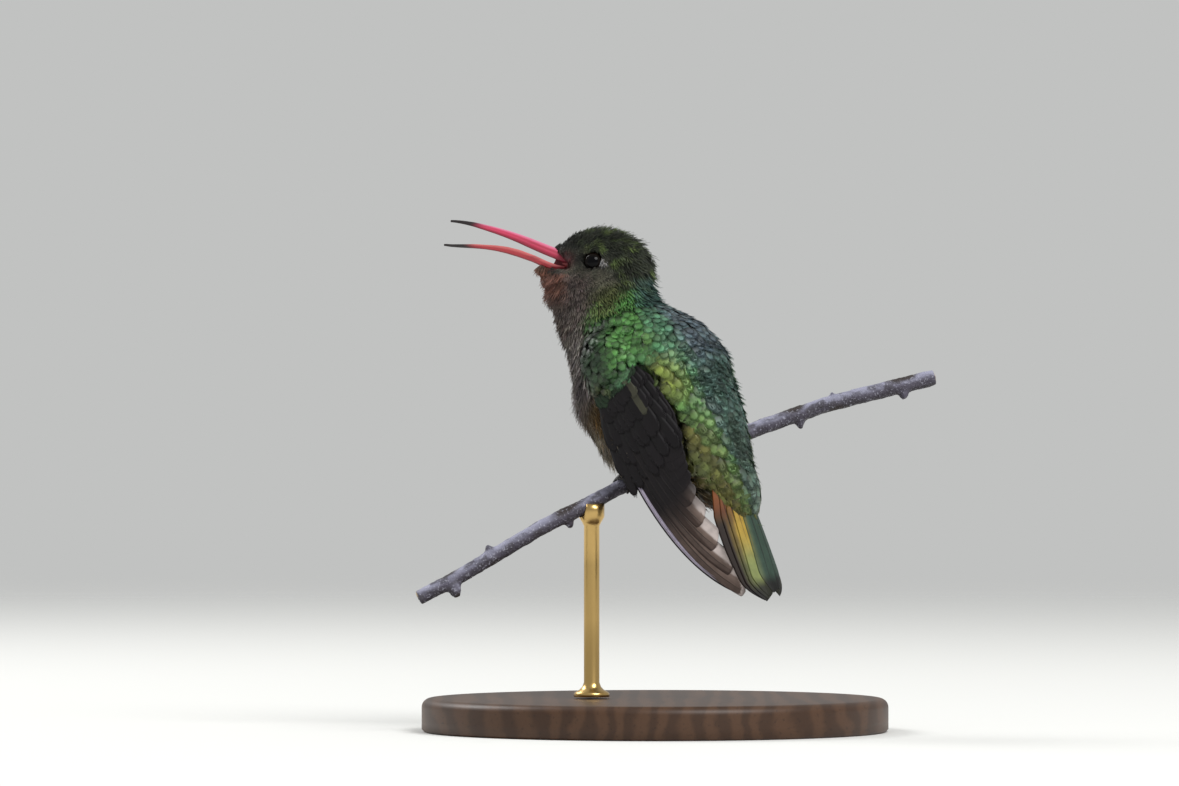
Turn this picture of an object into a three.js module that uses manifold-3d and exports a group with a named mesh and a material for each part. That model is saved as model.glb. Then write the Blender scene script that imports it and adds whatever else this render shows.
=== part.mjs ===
// A gilded hummingbird, life size, perched with its bill open on a short cut length of twig.
// A plain display stand, one rod on a round flat base, holds the twig.
//
// Millimetres, +Z up. The origin is the centre of the base's underside. Seen along +Y the bird
// faces -X. Its trunk is turned TRUNK_TURN away from the viewer and its head is turned back.

import * as THREE from "three";
import { mergeVertices } from "three/addons/utils/BufferGeometryUtils.js";
import Module from "manifold-3d";

const wasm = await Module();
wasm.setup();

// ---------------------------------------------------------------- driving dimensions

const GAP = 0.3; // clearance between neighbouring solids
const SEAM = 0.3; // width of the cuts that part head, neck and trunk
const WELD = 0.005; // points closer than this are one
const TRUNK_TURN = 34; // degrees the trunk's heading is turned from -X towards +Y
const HEAD_TURN = 8; // the same for the head
const CORE_HEIGHT = 60.9; // height of the trunk's middle, above the axis of the base

const EYE_RADIUS = 1.7;
const EYE_AT = { x: -10.4, z: 84.5, aside: 4.6 };

const WING = {
  wristForward: 4.96, // the hand's front corner, in the trunk's forward direction
  wristHeight: 61.1,
  pitch: 53.2, // degrees that the folded wing slopes down and back
  rootAside: 11.0, // distance from the trunk's middle plane at the wrist
  tipAside: 4.5,
  reach: 46,
  camber: 0.012, // drop towards the body per square millimetre across the blade
  thickness: 0.55,
  layer: 0.07, // each inner feather lies this much further out
  covertEdge: 1.0, // the coverts hide the feathers above this distance from the wrist
};
// How far each primary reaches from the wrist, outermost first.
const PRIMARY_REACH = [44.3, 44.9, 40.6, 35.6, 30.9, 27.0, 24.4, 22.4, 20.7, 19.1];
const SECONDARIES = 3;
const ROUNDED_FROM = 0.72; // share of a feather's length where its tip starts to round off

const TAIL = {
  rootForward: -17.4,
  rootHeight: 45.6,
  pitch: 65.4, // degrees that it slopes down and back
  arch: 0.07, // drop of the outer feathers per square millimetre aside
  halfWidth: 1.9, // of one feather
  thickness: 0.55,
  layer: 0.1,
};
// Length of each tail feather, central pair first.
const RECTRIX_LENGTH = [22.3, 22.7, 23.2, 23.5, 23.2];

const TOE_RADIUS = 0.4;
const CLAW_RADIUS = 0.18;
const KNUCKLE = 0.5; // half height of the pad where the toes meet
const SHANK = 3.2; // length of a leg above the foot
const FOOT_SPREAD = 2.5; // from the bird's middle plane to each foot, along the twig

const BASE_RADIUS = 42;
const BASE_HEIGHT = 6;
const BASE_EDGE = 1.6; // rounding of the base's upper edge
const ROD_RADIUS = 1.4;
const ROD_AT = -11.4; // x of the rod

// ---------------------------------------------------------------- materials

const paint = (color, roughness, metalness = 0) =>
  new THREE.MeshStandardMaterial({ color, roughness, metalness });

const PLUMAGE = paint(0x3f6a35, 0.5, 0.3);
const WING_COVERT = paint(0x356b3c, 0.5, 0.3);
const FLIGHT_FEATHER = paint(0x2a2428, 0.6);
const TAIL_FEATHER = paint(0x8a7a2c, 0.45, 0.3);
const BILL = paint(0xd2474f, 0.35);
const EYE = paint(0x0c0a0a, 0.08);
const FOOT = paint(0x1d1a1a, 0.6);
const BARK = paint(0x6d6a78, 0.85);
const STAND_WOOD = paint(0x4a3224, 0.45);
const STAND_METAL = paint(0xb08d4c, 0.3, 0.9);

// ---------------------------------------------------------------- small tools

const V = (x, y, z) => new THREE.Vector3(x, y, z);
const UP = V(0, 0, 1);
const radians = THREE.MathUtils.degToRad;

// Catmull-Rom through rows of numbers, t from 0 to 1.
function spline(rows, t) {
  const last = rows.length - 1;
  const at = Math.min(Math.max(t, 0), 1) * last;
  const i = Math.min(Math.floor(at), last - 1);
  const f = at - i;
  const [a, b, c, d] = [i - 1, i, i + 1, i + 2].map((k) => rows[Math.min(Math.max(k, 0), last)]);
  return b.map((_, k) => {
    const [p, q, r, s] = [a[k], b[k], c[k], d[k]];
    const bend = 2 * p - 5 * q + 4 * r - s + f * (3 * q - p - 3 * r + s);
    return 0.5 * (2 * q + f * (r - p + f * bend));
  });
}

// A closed mesh over rings of equal count, capped by a fan at each end.
function loft(rings) {
  const n = rings[0].length;
  const points = rings.flat();
  const index = [];
  for (let i = 0; i + 1 < rings.length; i++) {
    for (let j = 0; j < n; j++) {
      const [a, b] = [i * n + j, i * n + ((j + 1) % n)];
      index.push(a, b, b + n, a, b + n, a + n);
    }
  }
  for (const [first, flip] of [[0, true], [(rings.length - 1) * n, false]]) {
    const centre = V(0, 0, 0);
    for (let j = 0; j < n; j++) centre.addScaledVector(points[first + j], 1 / n);
    const hub = points.push(centre) - 1;
    for (let j = 0; j < n; j++) {
      const [a, b] = [first + j, first + ((j + 1) % n)];
      index.push(hub, flip ? b : a, flip ? a : b);
    }
  }
  return new THREE.BufferGeometry().setFromPoints(points).setIndex(index);
}

// An elliptical ring about centre, in the plane of two directions.
function ring(centre, side, up, halfWidth, halfDepth, count) {
  return Array.from({ length: count }, (_, j) => {
    const a = (2 * Math.PI * j) / count;
    return centre.clone()
      .addScaledVector(side, halfWidth * Math.cos(a))
      .addScaledVector(up, halfDepth * Math.sin(a));
  });
}

// A direction well across another.
function crossing(along) {
  const side = V(0, 1, 0).cross(along);
  return side.length() > 0.3 ? side : V(1, 0, 0).cross(along);
}

// A round rod through rows of [x, y, z, radius], which may taper.
function taperedRod(rows, steps, sides) {
  const at = (t) => V(...spline(rows, t));
  const rings = [];
  let side = null;
  for (let i = 0; i <= steps; i++) {
    const t = i / steps;
    const along = at(Math.min(t + 0.01, 1)).sub(at(Math.max(t - 0.01, 0))).normalize();
    side ??= crossing(along);
    side = side.clone().addScaledVector(along, -side.dot(along)).normalize();
    const radius = spline(rows, t)[3];
    rings.push(ring(at(t), side, along.clone().cross(side), radius, radius, sides));
  }
  return solid(loft(rings));
}

// A manifold solid from a closed geometry, turned so that its faces point out.
function solid(geometry) {
  const bare = new THREE.BufferGeometry().setAttribute("position", geometry.getAttribute("position"));
  if (geometry.index) bare.setIndex(geometry.index);
  const merged = mergeVertices(bare, 1e-4);
  const triVerts = new Uint32Array(merged.index.array);
  const vertProperties = new Float32Array(merged.getAttribute("position").array);
  const made = new wasm.Manifold(new wasm.Mesh({ numProp: 3, vertProperties, triVerts }));
  if (made.volume() > 0) return made;
  for (let i = 0; i < triVerts.length; i += 3) {
    [triVerts[i + 1], triVerts[i + 2]] = [triVerts[i + 2], triVerts[i + 1]];
  }
  return new wasm.Manifold(new wasm.Mesh({ numProp: 3, vertProperties, triVerts }));
}

const joined = (solids) => solids.reduce((a, b) => a.add(b));
const without = (body, ...cutters) => cutters.reduce((a, b) => a.subtract(b), body);

// The largest of the bodies that a cut may leave.
function largest(body) {
  return body.decompose().sort((a, b) => b.volume() - a.volume())[0];
}

function ellipsoid(centre, axes, radii, wide = 16, high = 10) {
  const geometry = new THREE.SphereGeometry(1, wide, high);
  const basis = new THREE.Matrix4().makeBasis(...axes.map((d, k) => d.clone().multiplyScalar(radii[k])));
  return solid(geometry.applyMatrix4(basis.setPosition(centre)));
}

// Everything on one side of a plane, as a large box.
function halfSpace(point, normal) {
  const size = 200;
  const box = new THREE.BoxGeometry(size, size, size).translate(0, 0, size / 2);
  box.applyQuaternion(new THREE.Quaternion().setFromUnitVectors(UP, normal));
  return solid(box.translate(point.x, point.y, point.z));
}

// ---------------------------------------------------------------- directions

// Forward and left of something whose heading is turned by this many degrees.
function facing(turn) {
  const a = radians(turn);
  return { forward: V(-Math.cos(a), Math.sin(a), 0), left: V(-Math.sin(a), -Math.cos(a), 0) };
}
const trunkWay = facing(TRUNK_TURN);
const headWay = facing(HEAD_TURN);

// A point given forward of the base's axis, above the base's underside and left of the middle plane.
function trunkPoint(forward, height, left) {
  return V(0, 0, height).addScaledVector(trunkWay.forward, forward).addScaledVector(trunkWay.left, left);
}

// ---------------------------------------------------------------- trunk, neck and head

// Stations of the trunk and neck from the tail's root to inside the head, as seen along +Y:
// [x, z, half depth, half width, turn].
const BODY_STATIONS = [
  [16.4, 39.2, 2.4, 3.2, TRUNK_TURN],
  [14.4, 43.1, 4.9, 5.4, TRUNK_TURN],
  [11.3, 46.5, 7.3, 7.3, TRUNK_TURN],
  [7.8, 51.5, 10.7, 9.7, TRUNK_TURN],
  [3.4, 56.0, 14.5, 12.0, TRUNK_TURN],
  [0.1, CORE_HEIGHT, 15.5, 12.6, TRUNK_TURN],
  [-2.5, 65.1, 14.6, 12.2, TRUNK_TURN],
  [-5.6, 69.6, 11.4, 10.7, 32],
  [-7.7, 73.5, 10.1, 9.3, 26],
  [-9.0, 77.3, 9.9, 8.3, 18],
  [-10.1, 80.9, 10.0, 7.6, 12],
  [-9.8, 83.4, 8.0, 6.2, HEAD_TURN],
  [-9.4, 85.4, 4.5, 3.8, HEAD_TURN],
];
// Stations of the head from the back of the skull to the root of the bill.
const HEAD_STATIONS = [
  [-0.6, 81.1, 1.5, 1.5],
  [-1.8, 81.6, 3.9, 3.7],
  [-3.8, 82.4, 5.7, 5.4],
  [-6.7, 83.3, 6.7, 6.3],
  [-9.9, 84.2, 6.9, 6.2],
  [-12.6, 84.5, 6.2, 5.2],
  [-14.9, 84.8, 5.0, 3.8],
  [-16.7, 84.9, 3.7, 2.6],
  [-18.0, 85.2, 2.3, 1.7],
];
// The chin's feathering, which runs out under the lower half of the bill.
const CHIN_STATIONS = [
  [-12.5, 80.6, 3.4, 3.6],
  [-15.6, 81.0, 2.7, 3.0],
  [-18.0, 81.6, 2.0, 2.2],
  [-20.0, 82.5, 1.2, 1.2],
  [-21.0, 83.2, 0.5, 0.6],
];
const HEAD_DEPTH = 5.9; // y of the head's middle plane where x is -9.2
const headY = (x) => HEAD_DEPTH - (x + 9.2) * Math.tan(radians(HEAD_TURN));

// y of each body station, found by walking both ways from the trunk's middle along the heading.
function bodyRows() {
  const core = BODY_STATIONS.findIndex((s) => s[1] === CORE_HEIGHT);
  const y = BODY_STATIONS.map(() => 0);
  const step = (from, to) => {
    const turn = radians((BODY_STATIONS[from][4] + BODY_STATIONS[to][4]) / 2);
    y[to] = y[from] - (BODY_STATIONS[to][0] - BODY_STATIONS[from][0]) * Math.tan(turn);
  };
  for (let i = core; i + 1 < y.length; i++) step(i, i + 1);
  for (let i = core; i > 0; i--) step(i, i - 1);
  return BODY_STATIONS.map(([x, z, depth, width, turn], i) => [x, y[i], z, depth, width, turn]);
}

// Rings square to a path of [x, y, z, half depth, half width, turn].
function fleshRings(rows, steps, sides) {
  const rings = [];
  for (let i = 0; i <= steps; i++) {
    const t = i / steps;
    const [x, y, z, depth, width, turn] = spline(rows, t);
    const ahead = V(...spline(rows, Math.min(t + 0.02, 1)));
    const along = ahead.sub(V(...spline(rows, Math.max(t - 0.02, 0)))).normalize();
    const left = facing(turn).left;
    left.addScaledVector(along, -left.dot(along)).normalize();
    rings.push(ring(V(x, y, z), left, along.clone().cross(left), width, depth, sides));
  }
  return rings;
}

const onHead = (stations) =>
  stations.map(([x, z, depth, width]) => [x, headY(x), z, depth, width, HEAD_TURN]);

// Cuts across the flesh: under the skull and at the root of the neck.
const HEAD_CUT = { at: V(-9.2, 6, 78.2), normal: V(-0.16, 0.02, 0.98).normalize() };
const NECK_CUT = { at: V(-5.2, 3, 70.4), normal: V(-0.24, 0.1, 0.96).normalize() };

function fleshSolid() {
  return joined([
    solid(loft(fleshRings(bodyRows(), 16, 18))),
    solid(loft(fleshRings(onHead(HEAD_STATIONS), 9, 16))),
    solid(loft(fleshRings(onHead(CHIN_STATIONS), 4, 8))),
  ]);
}

// ---------------------------------------------------------------- bill and eyes

// [x, z, half depth, half width] from the root inside the head to the tip.
const UPPER_BILL = [
  [-15.4, 85.2, 0.95, 1.15],
  [-18.4, 86.3, 0.95, 1.1],
  [-22.2, 87.9, 0.88, 0.85],
  [-24.9, 89.0, 0.76, 0.7],
  [-27.7, 90.0, 0.64, 0.6],
  [-30.4, 90.8, 0.52, 0.52],
  [-33.2, 91.55, 0.38, 0.42],
  [-35.6, 91.95, 0.26, 0.28],
  [-36.9, 92.05, 0.2, 0.2],
];
const LOWER_BILL = [
  [-16.0, 83.3, 0.5, 1.05],
  [-18.45, 83.6, 0.62, 1.05],
  [-21.2, 84.9, 0.62, 0.8],
  [-24.9, 86.25, 0.66, 0.66],
  [-27.7, 86.95, 0.56, 0.56],
  [-30.4, 87.3, 0.42, 0.46],
  [-33.2, 87.5, 0.37, 0.38],
  [-36.2, 87.55, 0.27, 0.27],
  [-38.1, 87.75, 0.2, 0.2],
];

function bill(stations, grow = 0) {
  const rows = onHead(stations.map(([x, z, depth, width]) => [x, z, depth + grow, width + grow]));
  return solid(loft(fleshRings(rows, 11, 8)));
}

function eye(side, grow = 0) {
  const { x, z, aside } = EYE_AT;
  const centre = V(x, headY(x), z).addScaledVector(headWay.left, side * aside);
  const r = EYE_RADIUS + grow;
  return ellipsoid(centre, [headWay.forward, UP, headWay.left], [r, r, r], 12, 6);
}

// ---------------------------------------------------------------- wings

const wingAlong = { forward: -Math.cos(radians(WING.pitch)), height: -Math.sin(radians(WING.pitch)) };
const wingAcross = { forward: wingAlong.height, height: -wingAlong.forward };

// A point of the folded wing: u from the wrist to the tip, v from the front edge towards the back,
// w out from the blade.
function wingPoint(u, v, w, side) {
  const share = Math.min(Math.max(u / WING.reach, 0), 1);
  const aside = WING.tipAside + (WING.rootAside - WING.tipAside) * (1 - share ** 1.6);
  const left = aside - WING.camber * (v - 1) ** 2 + w;
  return trunkPoint(
    WING.wristForward + u * wingAlong.forward + v * wingAcross.forward,
    WING.wristHeight + u * wingAlong.height + v * wingAcross.height,
    side * left,
  );
}

// Root, bend and tip of a flight feather's shaft in the blade's u and v. Feather 0 is the outermost
// primary. Those after the primaries are the secondaries.
function flightShaft(k) {
  const root = [WING.covertEdge, 0.2 + 0.6 * k];
  if (k < PRIMARY_REACH.length) {
    const tip = PRIMARY_REACH[k];
    return [root, [tip * 0.7, -8.7 + 1.8 * k], [tip, 0.1 + 0.6 * k]];
  }
  const j = k - PRIMARY_REACH.length;
  return [root, [8, 6 + 0.8 * j], [18 - 1.6 * j, 6.3 + 0.5 * j]];
}

const bezier = ([a, b, c], t) =>
  a.map((_, i) => (1 - t) ** 2 * a[i] + 2 * t * (1 - t) * b[i] + t * t * c[i]);

// Share of a feather's full width at t: it widens over the first quarter and rounds off at the tip.
function vaneShare(t) {
  const opening = 0.55 + 0.45 * Math.min(4 * t, 1);
  const closing = Math.max((t - ROUNDED_FROM) / (1.01 - ROUNDED_FROM), 0) ** 2.4;
  return opening * Math.sqrt(Math.max(1 - closing, 0.02));
}

// One feather as a thin slab between two heights. outer and inner are its widths either side of the
// shaft, and place(u, v, w) puts a point of the flat feather in space.
function featherSlab(shaft, [outer, inner], [low, high], steps, place) {
  const rings = [];
  for (let i = 0; i <= steps; i++) {
    const t = 1 - (1 - i / steps) ** 1.4; // closer together towards the tip
    const [u, v] = bezier(shaft, t);
    const [u2, v2] = bezier(shaft, t + 0.01);
    const along = new THREE.Vector2(u2 - u, v2 - v).normalize();
    const edge = (s, w) => place(u - along.y * s * vaneShare(t), v + along.x * s * vaneShare(t), w);
    rings.push([edge(-outer, low), edge(inner, low), edge(inner, high), edge(-outer, high)]);
  }
  return solid(loft(rings));
}

// The flight feathers of one folded wing. The outermost one is the narrowest.
function flightFeathers(side) {
  const count = PRIMARY_REACH.length + SECONDARIES;
  const half = WING.thickness / 2;
  const place = (u, v, w) => wingPoint(u, v, w, side);
  return joined(
    Array.from({ length: count }, (_, k) => {
      const widths = [k ? 1.2 : 0.8, k < 2 ? 1.6 : 2];
      const lift = WING.layer * k;
      return featherSlab(flightShaft(k), widths, [lift - half, lift + half], k < 2 ? 6 : 4, place);
    }),
  );
}

// The space of the folded wing's blade and all that lies outward of it: [u, front v, back v].
const BLADE = [
  [WING.covertEdge - GAP, -1.4, 10.6],
  [6, -3.6, 10.8],
  [12, -5.1, 10.7],
  [18, -6.0, 10.2],
  [28, -6.2, 6.8],
  [46.3, -4.4, 2.8],
];

const OUTSIDE = 25; // far enough outward to pass the widest part of the bird

// A curved sheet's cross-section as a closed ring: along its low side and back along its high side.
function sheetRing(columns, front, back, low, high) {
  const across = (j) => front + ((back - front) * j) / columns;
  const row = (side, at) => Array.from({ length: columns + 1 }, (_, j) => side(across(at(j))));
  return [...row(low, (j) => j), ...row(high, (j) => columns - j)];
}

function bladeSpace(side) {
  const inner = -WING.thickness / 2 - GAP;
  const rings = BLADE.map(([u, front, back]) =>
    sheetRing(3, front, back, (v) => wingPoint(u, v, inner, side), (v) => wingPoint(u, v, OUTSIDE, side)),
  );
  return solid(loft(rings));
}

// The arm and hand under the coverts: the flank's own surface within an oval outline, with a low
// swelling over the bend of the wing.
const ARM = {
  u: -1.6, // its middle, in the blade's directions
  v: 3.9,
  halfLength: 8.6,
  halfWidth: 6.4,
  innerSide: 7.4, // distances from the trunk's middle plane
  swellingAt: 10.6,
  swelling: 3.3,
};

function armFrame(side, aside) {
  const centre = trunkPoint(
    WING.wristForward + ARM.u * wingAlong.forward + ARM.v * wingAcross.forward,
    WING.wristHeight + ARM.u * wingAlong.height + ARM.v * wingAcross.height,
    side * aside,
  );
  const along = V(0, 0, wingAlong.height).addScaledVector(trunkWay.forward, wingAlong.forward);
  const across = V(0, 0, wingAcross.height).addScaledVector(trunkWay.forward, wingAcross.forward);
  return { centre, along, across, out: trunkWay.left.clone().multiplyScalar(side) };
}

// Everything outward of the arm's inner side, within its oval outline.
function armColumn(side, grow = 0) {
  const f = armFrame(side, ARM.innerSide - grow);
  const far = f.centre.clone().addScaledVector(f.out, OUTSIDE);
  const [length, width] = [ARM.halfLength + grow, ARM.halfWidth + grow];
  return solid(loft([f.centre, far].map((centre) => ring(centre, f.along, f.across, length, width, 18))));
}

function wingArm(side, flank) {
  const f = armFrame(side, ARM.swellingAt);
  const inset = 0.5; // keeps the swelling's edge inside the column
  const radii = [ARM.halfLength - inset, ARM.halfWidth - inset, ARM.swelling];
  return flank.add(ellipsoid(f.centre, [f.along, f.across, f.out], radii, 14, 6)).intersect(armColumn(side));
}

// ---------------------------------------------------------------- tail

const tailAlong = { forward: -Math.cos(radians(TAIL.pitch)), height: -Math.sin(radians(TAIL.pitch)) };
const tailUp = { forward: tailAlong.height, height: -tailAlong.forward };

function tailPoint(s, q, p) {
  const rise = p - TAIL.arch * q * q;
  return trunkPoint(
    TAIL.rootForward + s * tailAlong.forward + rise * tailUp.forward,
    TAIL.rootHeight + s * tailAlong.height + rise * tailUp.height,
    q,
  );
}

// The tail feathers, closed: the central pair lies on top.
function tailFeathers() {
  const half = TAIL.thickness / 2;
  const slabs = [];
  for (const side of [-1, 1]) {
    RECTRIX_LENGTH.forEach((length, i) => {
      const shaft = [
        [0, side * (0.5 + 0.85 * i)],
        [length * 0.55, side * (1.0 + 0.85 * i)],
        [length, side * (0.7 + 0.55 * i)],
      ];
      const lift = -TAIL.layer * i;
      const widths = [TAIL.halfWidth, TAIL.halfWidth];
      slabs.push(featherSlab(shaft, widths, [lift - half, lift + half], 4, tailPoint));
    });
  }
  return joined(slabs);
}

// The tail's root as one smooth sheet, for cutting the rump.
function tailSpace() {
  const top = TAIL.thickness / 2 + GAP;
  const under = -top - TAIL.layer * (RECTRIX_LENGTH.length - 1);
  const halfWidth = 6.6;
  const rings = [-GAP, 5, 12].map((s) =>
    sheetRing(4, -halfWidth, halfWidth, (q) => tailPoint(s, q, under), (q) => tailPoint(s, q, top)),
  );
  return solid(loft(rings));
}

// ---------------------------------------------------------------- twig

// [x, y, z, radius] along the twig's middle line.
const TWIG = [
  [-42.5, -9.2, 24.2, 1.45],
  [-34, -8.2, 28.7, 1.5],
  [-20.2, -5.6, 36.9, 1.5],
  [-12, -2.8, 40.9, 1.5],
  [-6.5, 1.2, 43.8, 1.5],
  [-1, 6.6, 46.1, 1.5],
  [6, 13, 49.3, 1.52],
  [18, 20, 54.1, 1.56],
  [31, 23, 58.6, 1.6],
  [41.5, 24.4, 61.3, 1.6],
  [51.5, 25.6, 63.8, 1.6],
];
// Buds and side stubs: [x, degrees round the twig from the viewer's side up, length, radius].
const BUDS = [
  [-36.6, -70, 1.9, 1.25],
  [-28.8, 95, 0.9, 0.8],
  [-15.8, -95, 1.2, 0.95],
  [26.3, -85, 1.3, 0.95],
  [33.2, 80, 0.6, 0.55],
  [45.4, -70, 1.2, 1.0],
];

const twigAt = (t) => V(...spline(TWIG, t));
function twigFrame(t) {
  const along = twigAt(Math.min(t + 0.01, 1)).sub(twigAt(Math.max(t - 0.01, 0))).normalize();
  const side = UP.clone().cross(along).normalize(); // points away from the viewer
  return { centre: twigAt(t), radius: spline(TWIG, t)[3], along, side, up: along.clone().cross(side) };
}
// The place along the twig whose x is given.
function twigShareAt(x) {
  let [low, high] = [0, 1];
  for (let i = 0; i < 30; i++) {
    const mid = (low + high) / 2;
    if (twigAt(mid).x < x) low = mid;
    else high = mid;
  }
  return low;
}

function twig(grow = 0) {
  const rows = TWIG.map(([x, y, z, radius]) => [x, y, z, radius + grow]);
  const stem = taperedRod(rows, grow ? 14 : 20, 8);
  if (grow) return stem;
  const buds = BUDS.map(([x, angle, length, radius]) => {
    const f = twigFrame(twigShareAt(x));
    const a = radians(angle);
    const out = f.side.clone().multiplyScalar(-Math.cos(a)).addScaledVector(f.up, Math.sin(a));
    const root = f.centre.clone().addScaledVector(out, f.radius * 0.5);
    const tip = f.centre.clone().addScaledVector(out, f.radius + length).addScaledVector(f.along, -0.4);
    const middle = root.clone().lerp(tip, 0.6);
    return taperedRod([[...root, radius * 1.25], [...middle, radius], [...tip, radius * 0.5]], 2, 6);
  });
  return joined([stem, ...buds]);
}

// ---------------------------------------------------------------- legs and feet

const FEET_X = -4.2; // where the bird's middle plane meets the twig
const TOE_SPLAY = 0.8; // between neighbouring front toes at their ends
const HEEL_RISE = 0.1; // of the pad's middle above the toes' path

// Where a foot sits: a frame on the twig whose forward is square to it.
function footFrame(side) {
  const middle = twigShareAt(FEET_X);
  const span = twigAt(middle + 0.005).distanceTo(twigAt(middle - 0.005)) / 0.01;
  const f = twigFrame(middle - (side * FOOT_SPREAD) / span);
  const forward = trunkWay.forward.clone();
  forward.addScaledVector(f.along, -forward.dot(f.along)).normalize();
  const up = f.along.clone().cross(forward);
  if (up.z < 0) up.negate();
  return { centre: f.centre, along: f.along, forward, up, wrap: f.radius + GAP + TOE_RADIUS };
}

// One toe round the twig, between two angles measured from straight ahead, ending in a claw.
function toe(f, start, end, drift) {
  const steps = 5;
  const rows = Array.from({ length: steps + 1 }, (_, i) => {
    const share = i / steps;
    const a = radians(start + (end - start) * share);
    const p = f.centre.clone()
      .addScaledVector(f.forward, f.wrap * Math.cos(a))
      .addScaledVector(f.up, f.wrap * Math.sin(a))
      .addScaledVector(f.along, drift * share);
    return [...p, share > 0.8 ? CLAW_RADIUS : TOE_RADIUS * (1 - 0.15 * share)];
  });
  return taperedRod(rows, 5, 5);
}

function foot(side) {
  const f = footFrame(side);
  const toes = [-1, 0, 1].map((j) => toe(f, 95, -62, j * TOE_SPLAY));
  const hallux = toe(f, 80, 232, 0);
  const heel = f.centre.clone().addScaledVector(f.up, f.wrap + HEEL_RISE);
  const knuckle = ellipsoid(heel, [f.along, f.forward, f.up], [0.75, 0.75, KNUCKLE], 7, 4);
  return joined([...toes, hallux, knuckle]);
}

// The shank, from the foot up into the belly's feathers.
function leg(side, grow = 0) {
  const f = footFrame(side);
  const heel = f.centre.clone().addScaledVector(f.up, f.wrap + HEEL_RISE + KNUCKLE + GAP - 2 * grow);
  const knee = heel.clone().addScaledVector(trunkWay.forward, -0.9).add(V(0, 0, SHANK + 2 * grow));
  const rows = [[...heel, 0.5], [...heel.clone().lerp(knee, 0.5), 0.55], [...knee, 0.75]];
  return taperedRod(rows.map(([x, y, z, r]) => [x, y, z, r + grow]), 3, 8);
}

// ---------------------------------------------------------------- stand

// Turned about a vertical axis at x and y, from [radius, z] rows that start and end on the axis.
function turned(rows, sides, x = 0, y = 0) {
  const outline = rows.map(([r, z]) => new THREE.Vector2(r, z));
  return solid(new THREE.LatheGeometry(outline, sides).rotateX(Math.PI / 2).translate(x, y, 0));
}

function standBase() {
  const chamfer = 0.5; // of the lower edge
  const corners = 2;
  const edge = Array.from({ length: corners + 1 }, (_, i) => {
    const a = (Math.PI / 2) * (i / corners);
    return [BASE_RADIUS - BASE_EDGE * (1 - Math.cos(a)), BASE_HEIGHT - BASE_EDGE * (1 - Math.sin(a))];
  });
  return turned([[0, 0], [BASE_RADIUS - chamfer, 0], [BASE_RADIUS, chamfer], ...edge, [0, BASE_HEIGHT]], 36);
}

// A straight rod with a collar on the base and a small cup under the twig.
function standRod() {
  const { centre } = twigFrame(twigShareAt(ROD_AT));
  const bottom = BASE_HEIGHT + GAP;
  const collar = 3.2;
  const cup = ROD_RADIUS + 0.9;
  const rod = turned(
    [
      [0, bottom], [collar, bottom], [collar, bottom + 0.9],
      [ROD_RADIUS + 0.3, bottom + 1.8], [ROD_RADIUS, bottom + 2.6],
      [ROD_RADIUS, centre.z - 4.2], [cup, centre.z - 2.6], [cup, centre.z - 0.2], [0, centre.z - 0.2],
    ],
    12, centre.x, centre.y,
  );
  return largest(without(rod, twig(GAP)));
}

// ---------------------------------------------------------------- assembly

const model = new THREE.Group();

// A node from a solid, with the slivers that cuts leave welded shut.
function addNode(name, body, material) {
  const mesh = body.getMesh();
  const cut = new THREE.BufferGeometry();
  cut.setAttribute("position", new THREE.BufferAttribute(new Float32Array(mesh.vertProperties), 3));
  cut.setIndex(new THREE.BufferAttribute(new Uint32Array(mesh.triVerts), 1));
  const geometry = mergeVertices(cut, WELD);
  const index = [];
  for (let i = 0; i < geometry.index.count; i += 3) {
    const [a, b, c] = [0, 1, 2].map((k) => geometry.index.getX(i + k));
    if (a !== b && b !== c && c !== a) index.push(a, b, c);
  }
  geometry.setIndex(index);
  geometry.computeVertexNormals();
  const made = new THREE.Mesh(geometry, material);
  made.name = name;
  model.add(made);
}

const SIDES = { left: 1, right: -1 };
const bothSides = (make) => Object.values(SIDES).map(make);

const above = (cut) => halfSpace(cut.at.clone().addScaledVector(cut.normal, SEAM / 2), cut.normal);
const below = (cut) =>
  halfSpace(cut.at.clone().addScaledVector(cut.normal, -SEAM / 2), cut.normal.clone().negate());

const TWIG_ROOM = GAP + 2 * TOE_RADIUS + 0.5; // round the twig, for the toes between it and the belly

const wholeFlesh = fleshSolid();
const flesh = without(
  wholeFlesh,
  bill(UPPER_BILL, GAP),
  bill(LOWER_BILL, GAP),
  ...bothSides((side) => eye(side, GAP)),
  ...bothSides((side) => armColumn(side, GAP)),
  ...bothSides(bladeSpace),
  ...bothSides((side) => leg(side, GAP)),
  tailSpace(),
  twig(TWIG_ROOM),
);

addNode("head", largest(flesh.intersect(above(HEAD_CUT))), PLUMAGE);
addNode("neck", largest(flesh.intersect(below(HEAD_CUT)).intersect(above(NECK_CUT))), PLUMAGE);
addNode("trunk", largest(flesh.intersect(below(NECK_CUT))), PLUMAGE);
addNode("bill_upper", bill(UPPER_BILL), BILL);
addNode("bill_lower", without(bill(LOWER_BILL), bill(UPPER_BILL, GAP)), BILL);
addNode("tail", tailFeathers(), TAIL_FEATHER);
for (const [name, side] of Object.entries(SIDES)) {
  addNode(`eye_${name}`, eye(side), EYE);
  addNode(`wing_${name}`, largest(without(wingArm(side, wholeFlesh), bladeSpace(side))), WING_COVERT);
  addNode(`wing_feathers_${name}`, flightFeathers(side), FLIGHT_FEATHER);
  addNode(`leg_${name}`, leg(side), FOOT);
  addNode(`foot_${name}`, foot(side), FOOT);
}
addNode("perch", twig(), BARK);
addNode("stand_rod", standRod(), STAND_METAL);
addNode("stand_base", standBase(), STAND_WOOD);

export default model;
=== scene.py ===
"""A life-size gilded hummingbird with its bill open, on a cut twig that a plain display stand holds.

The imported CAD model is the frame. Lengths are millimetres until a mesh is made, and an array holds
many points, one a row. The bird faces -X as seen along +Y, and +Z is up.
"""

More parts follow.
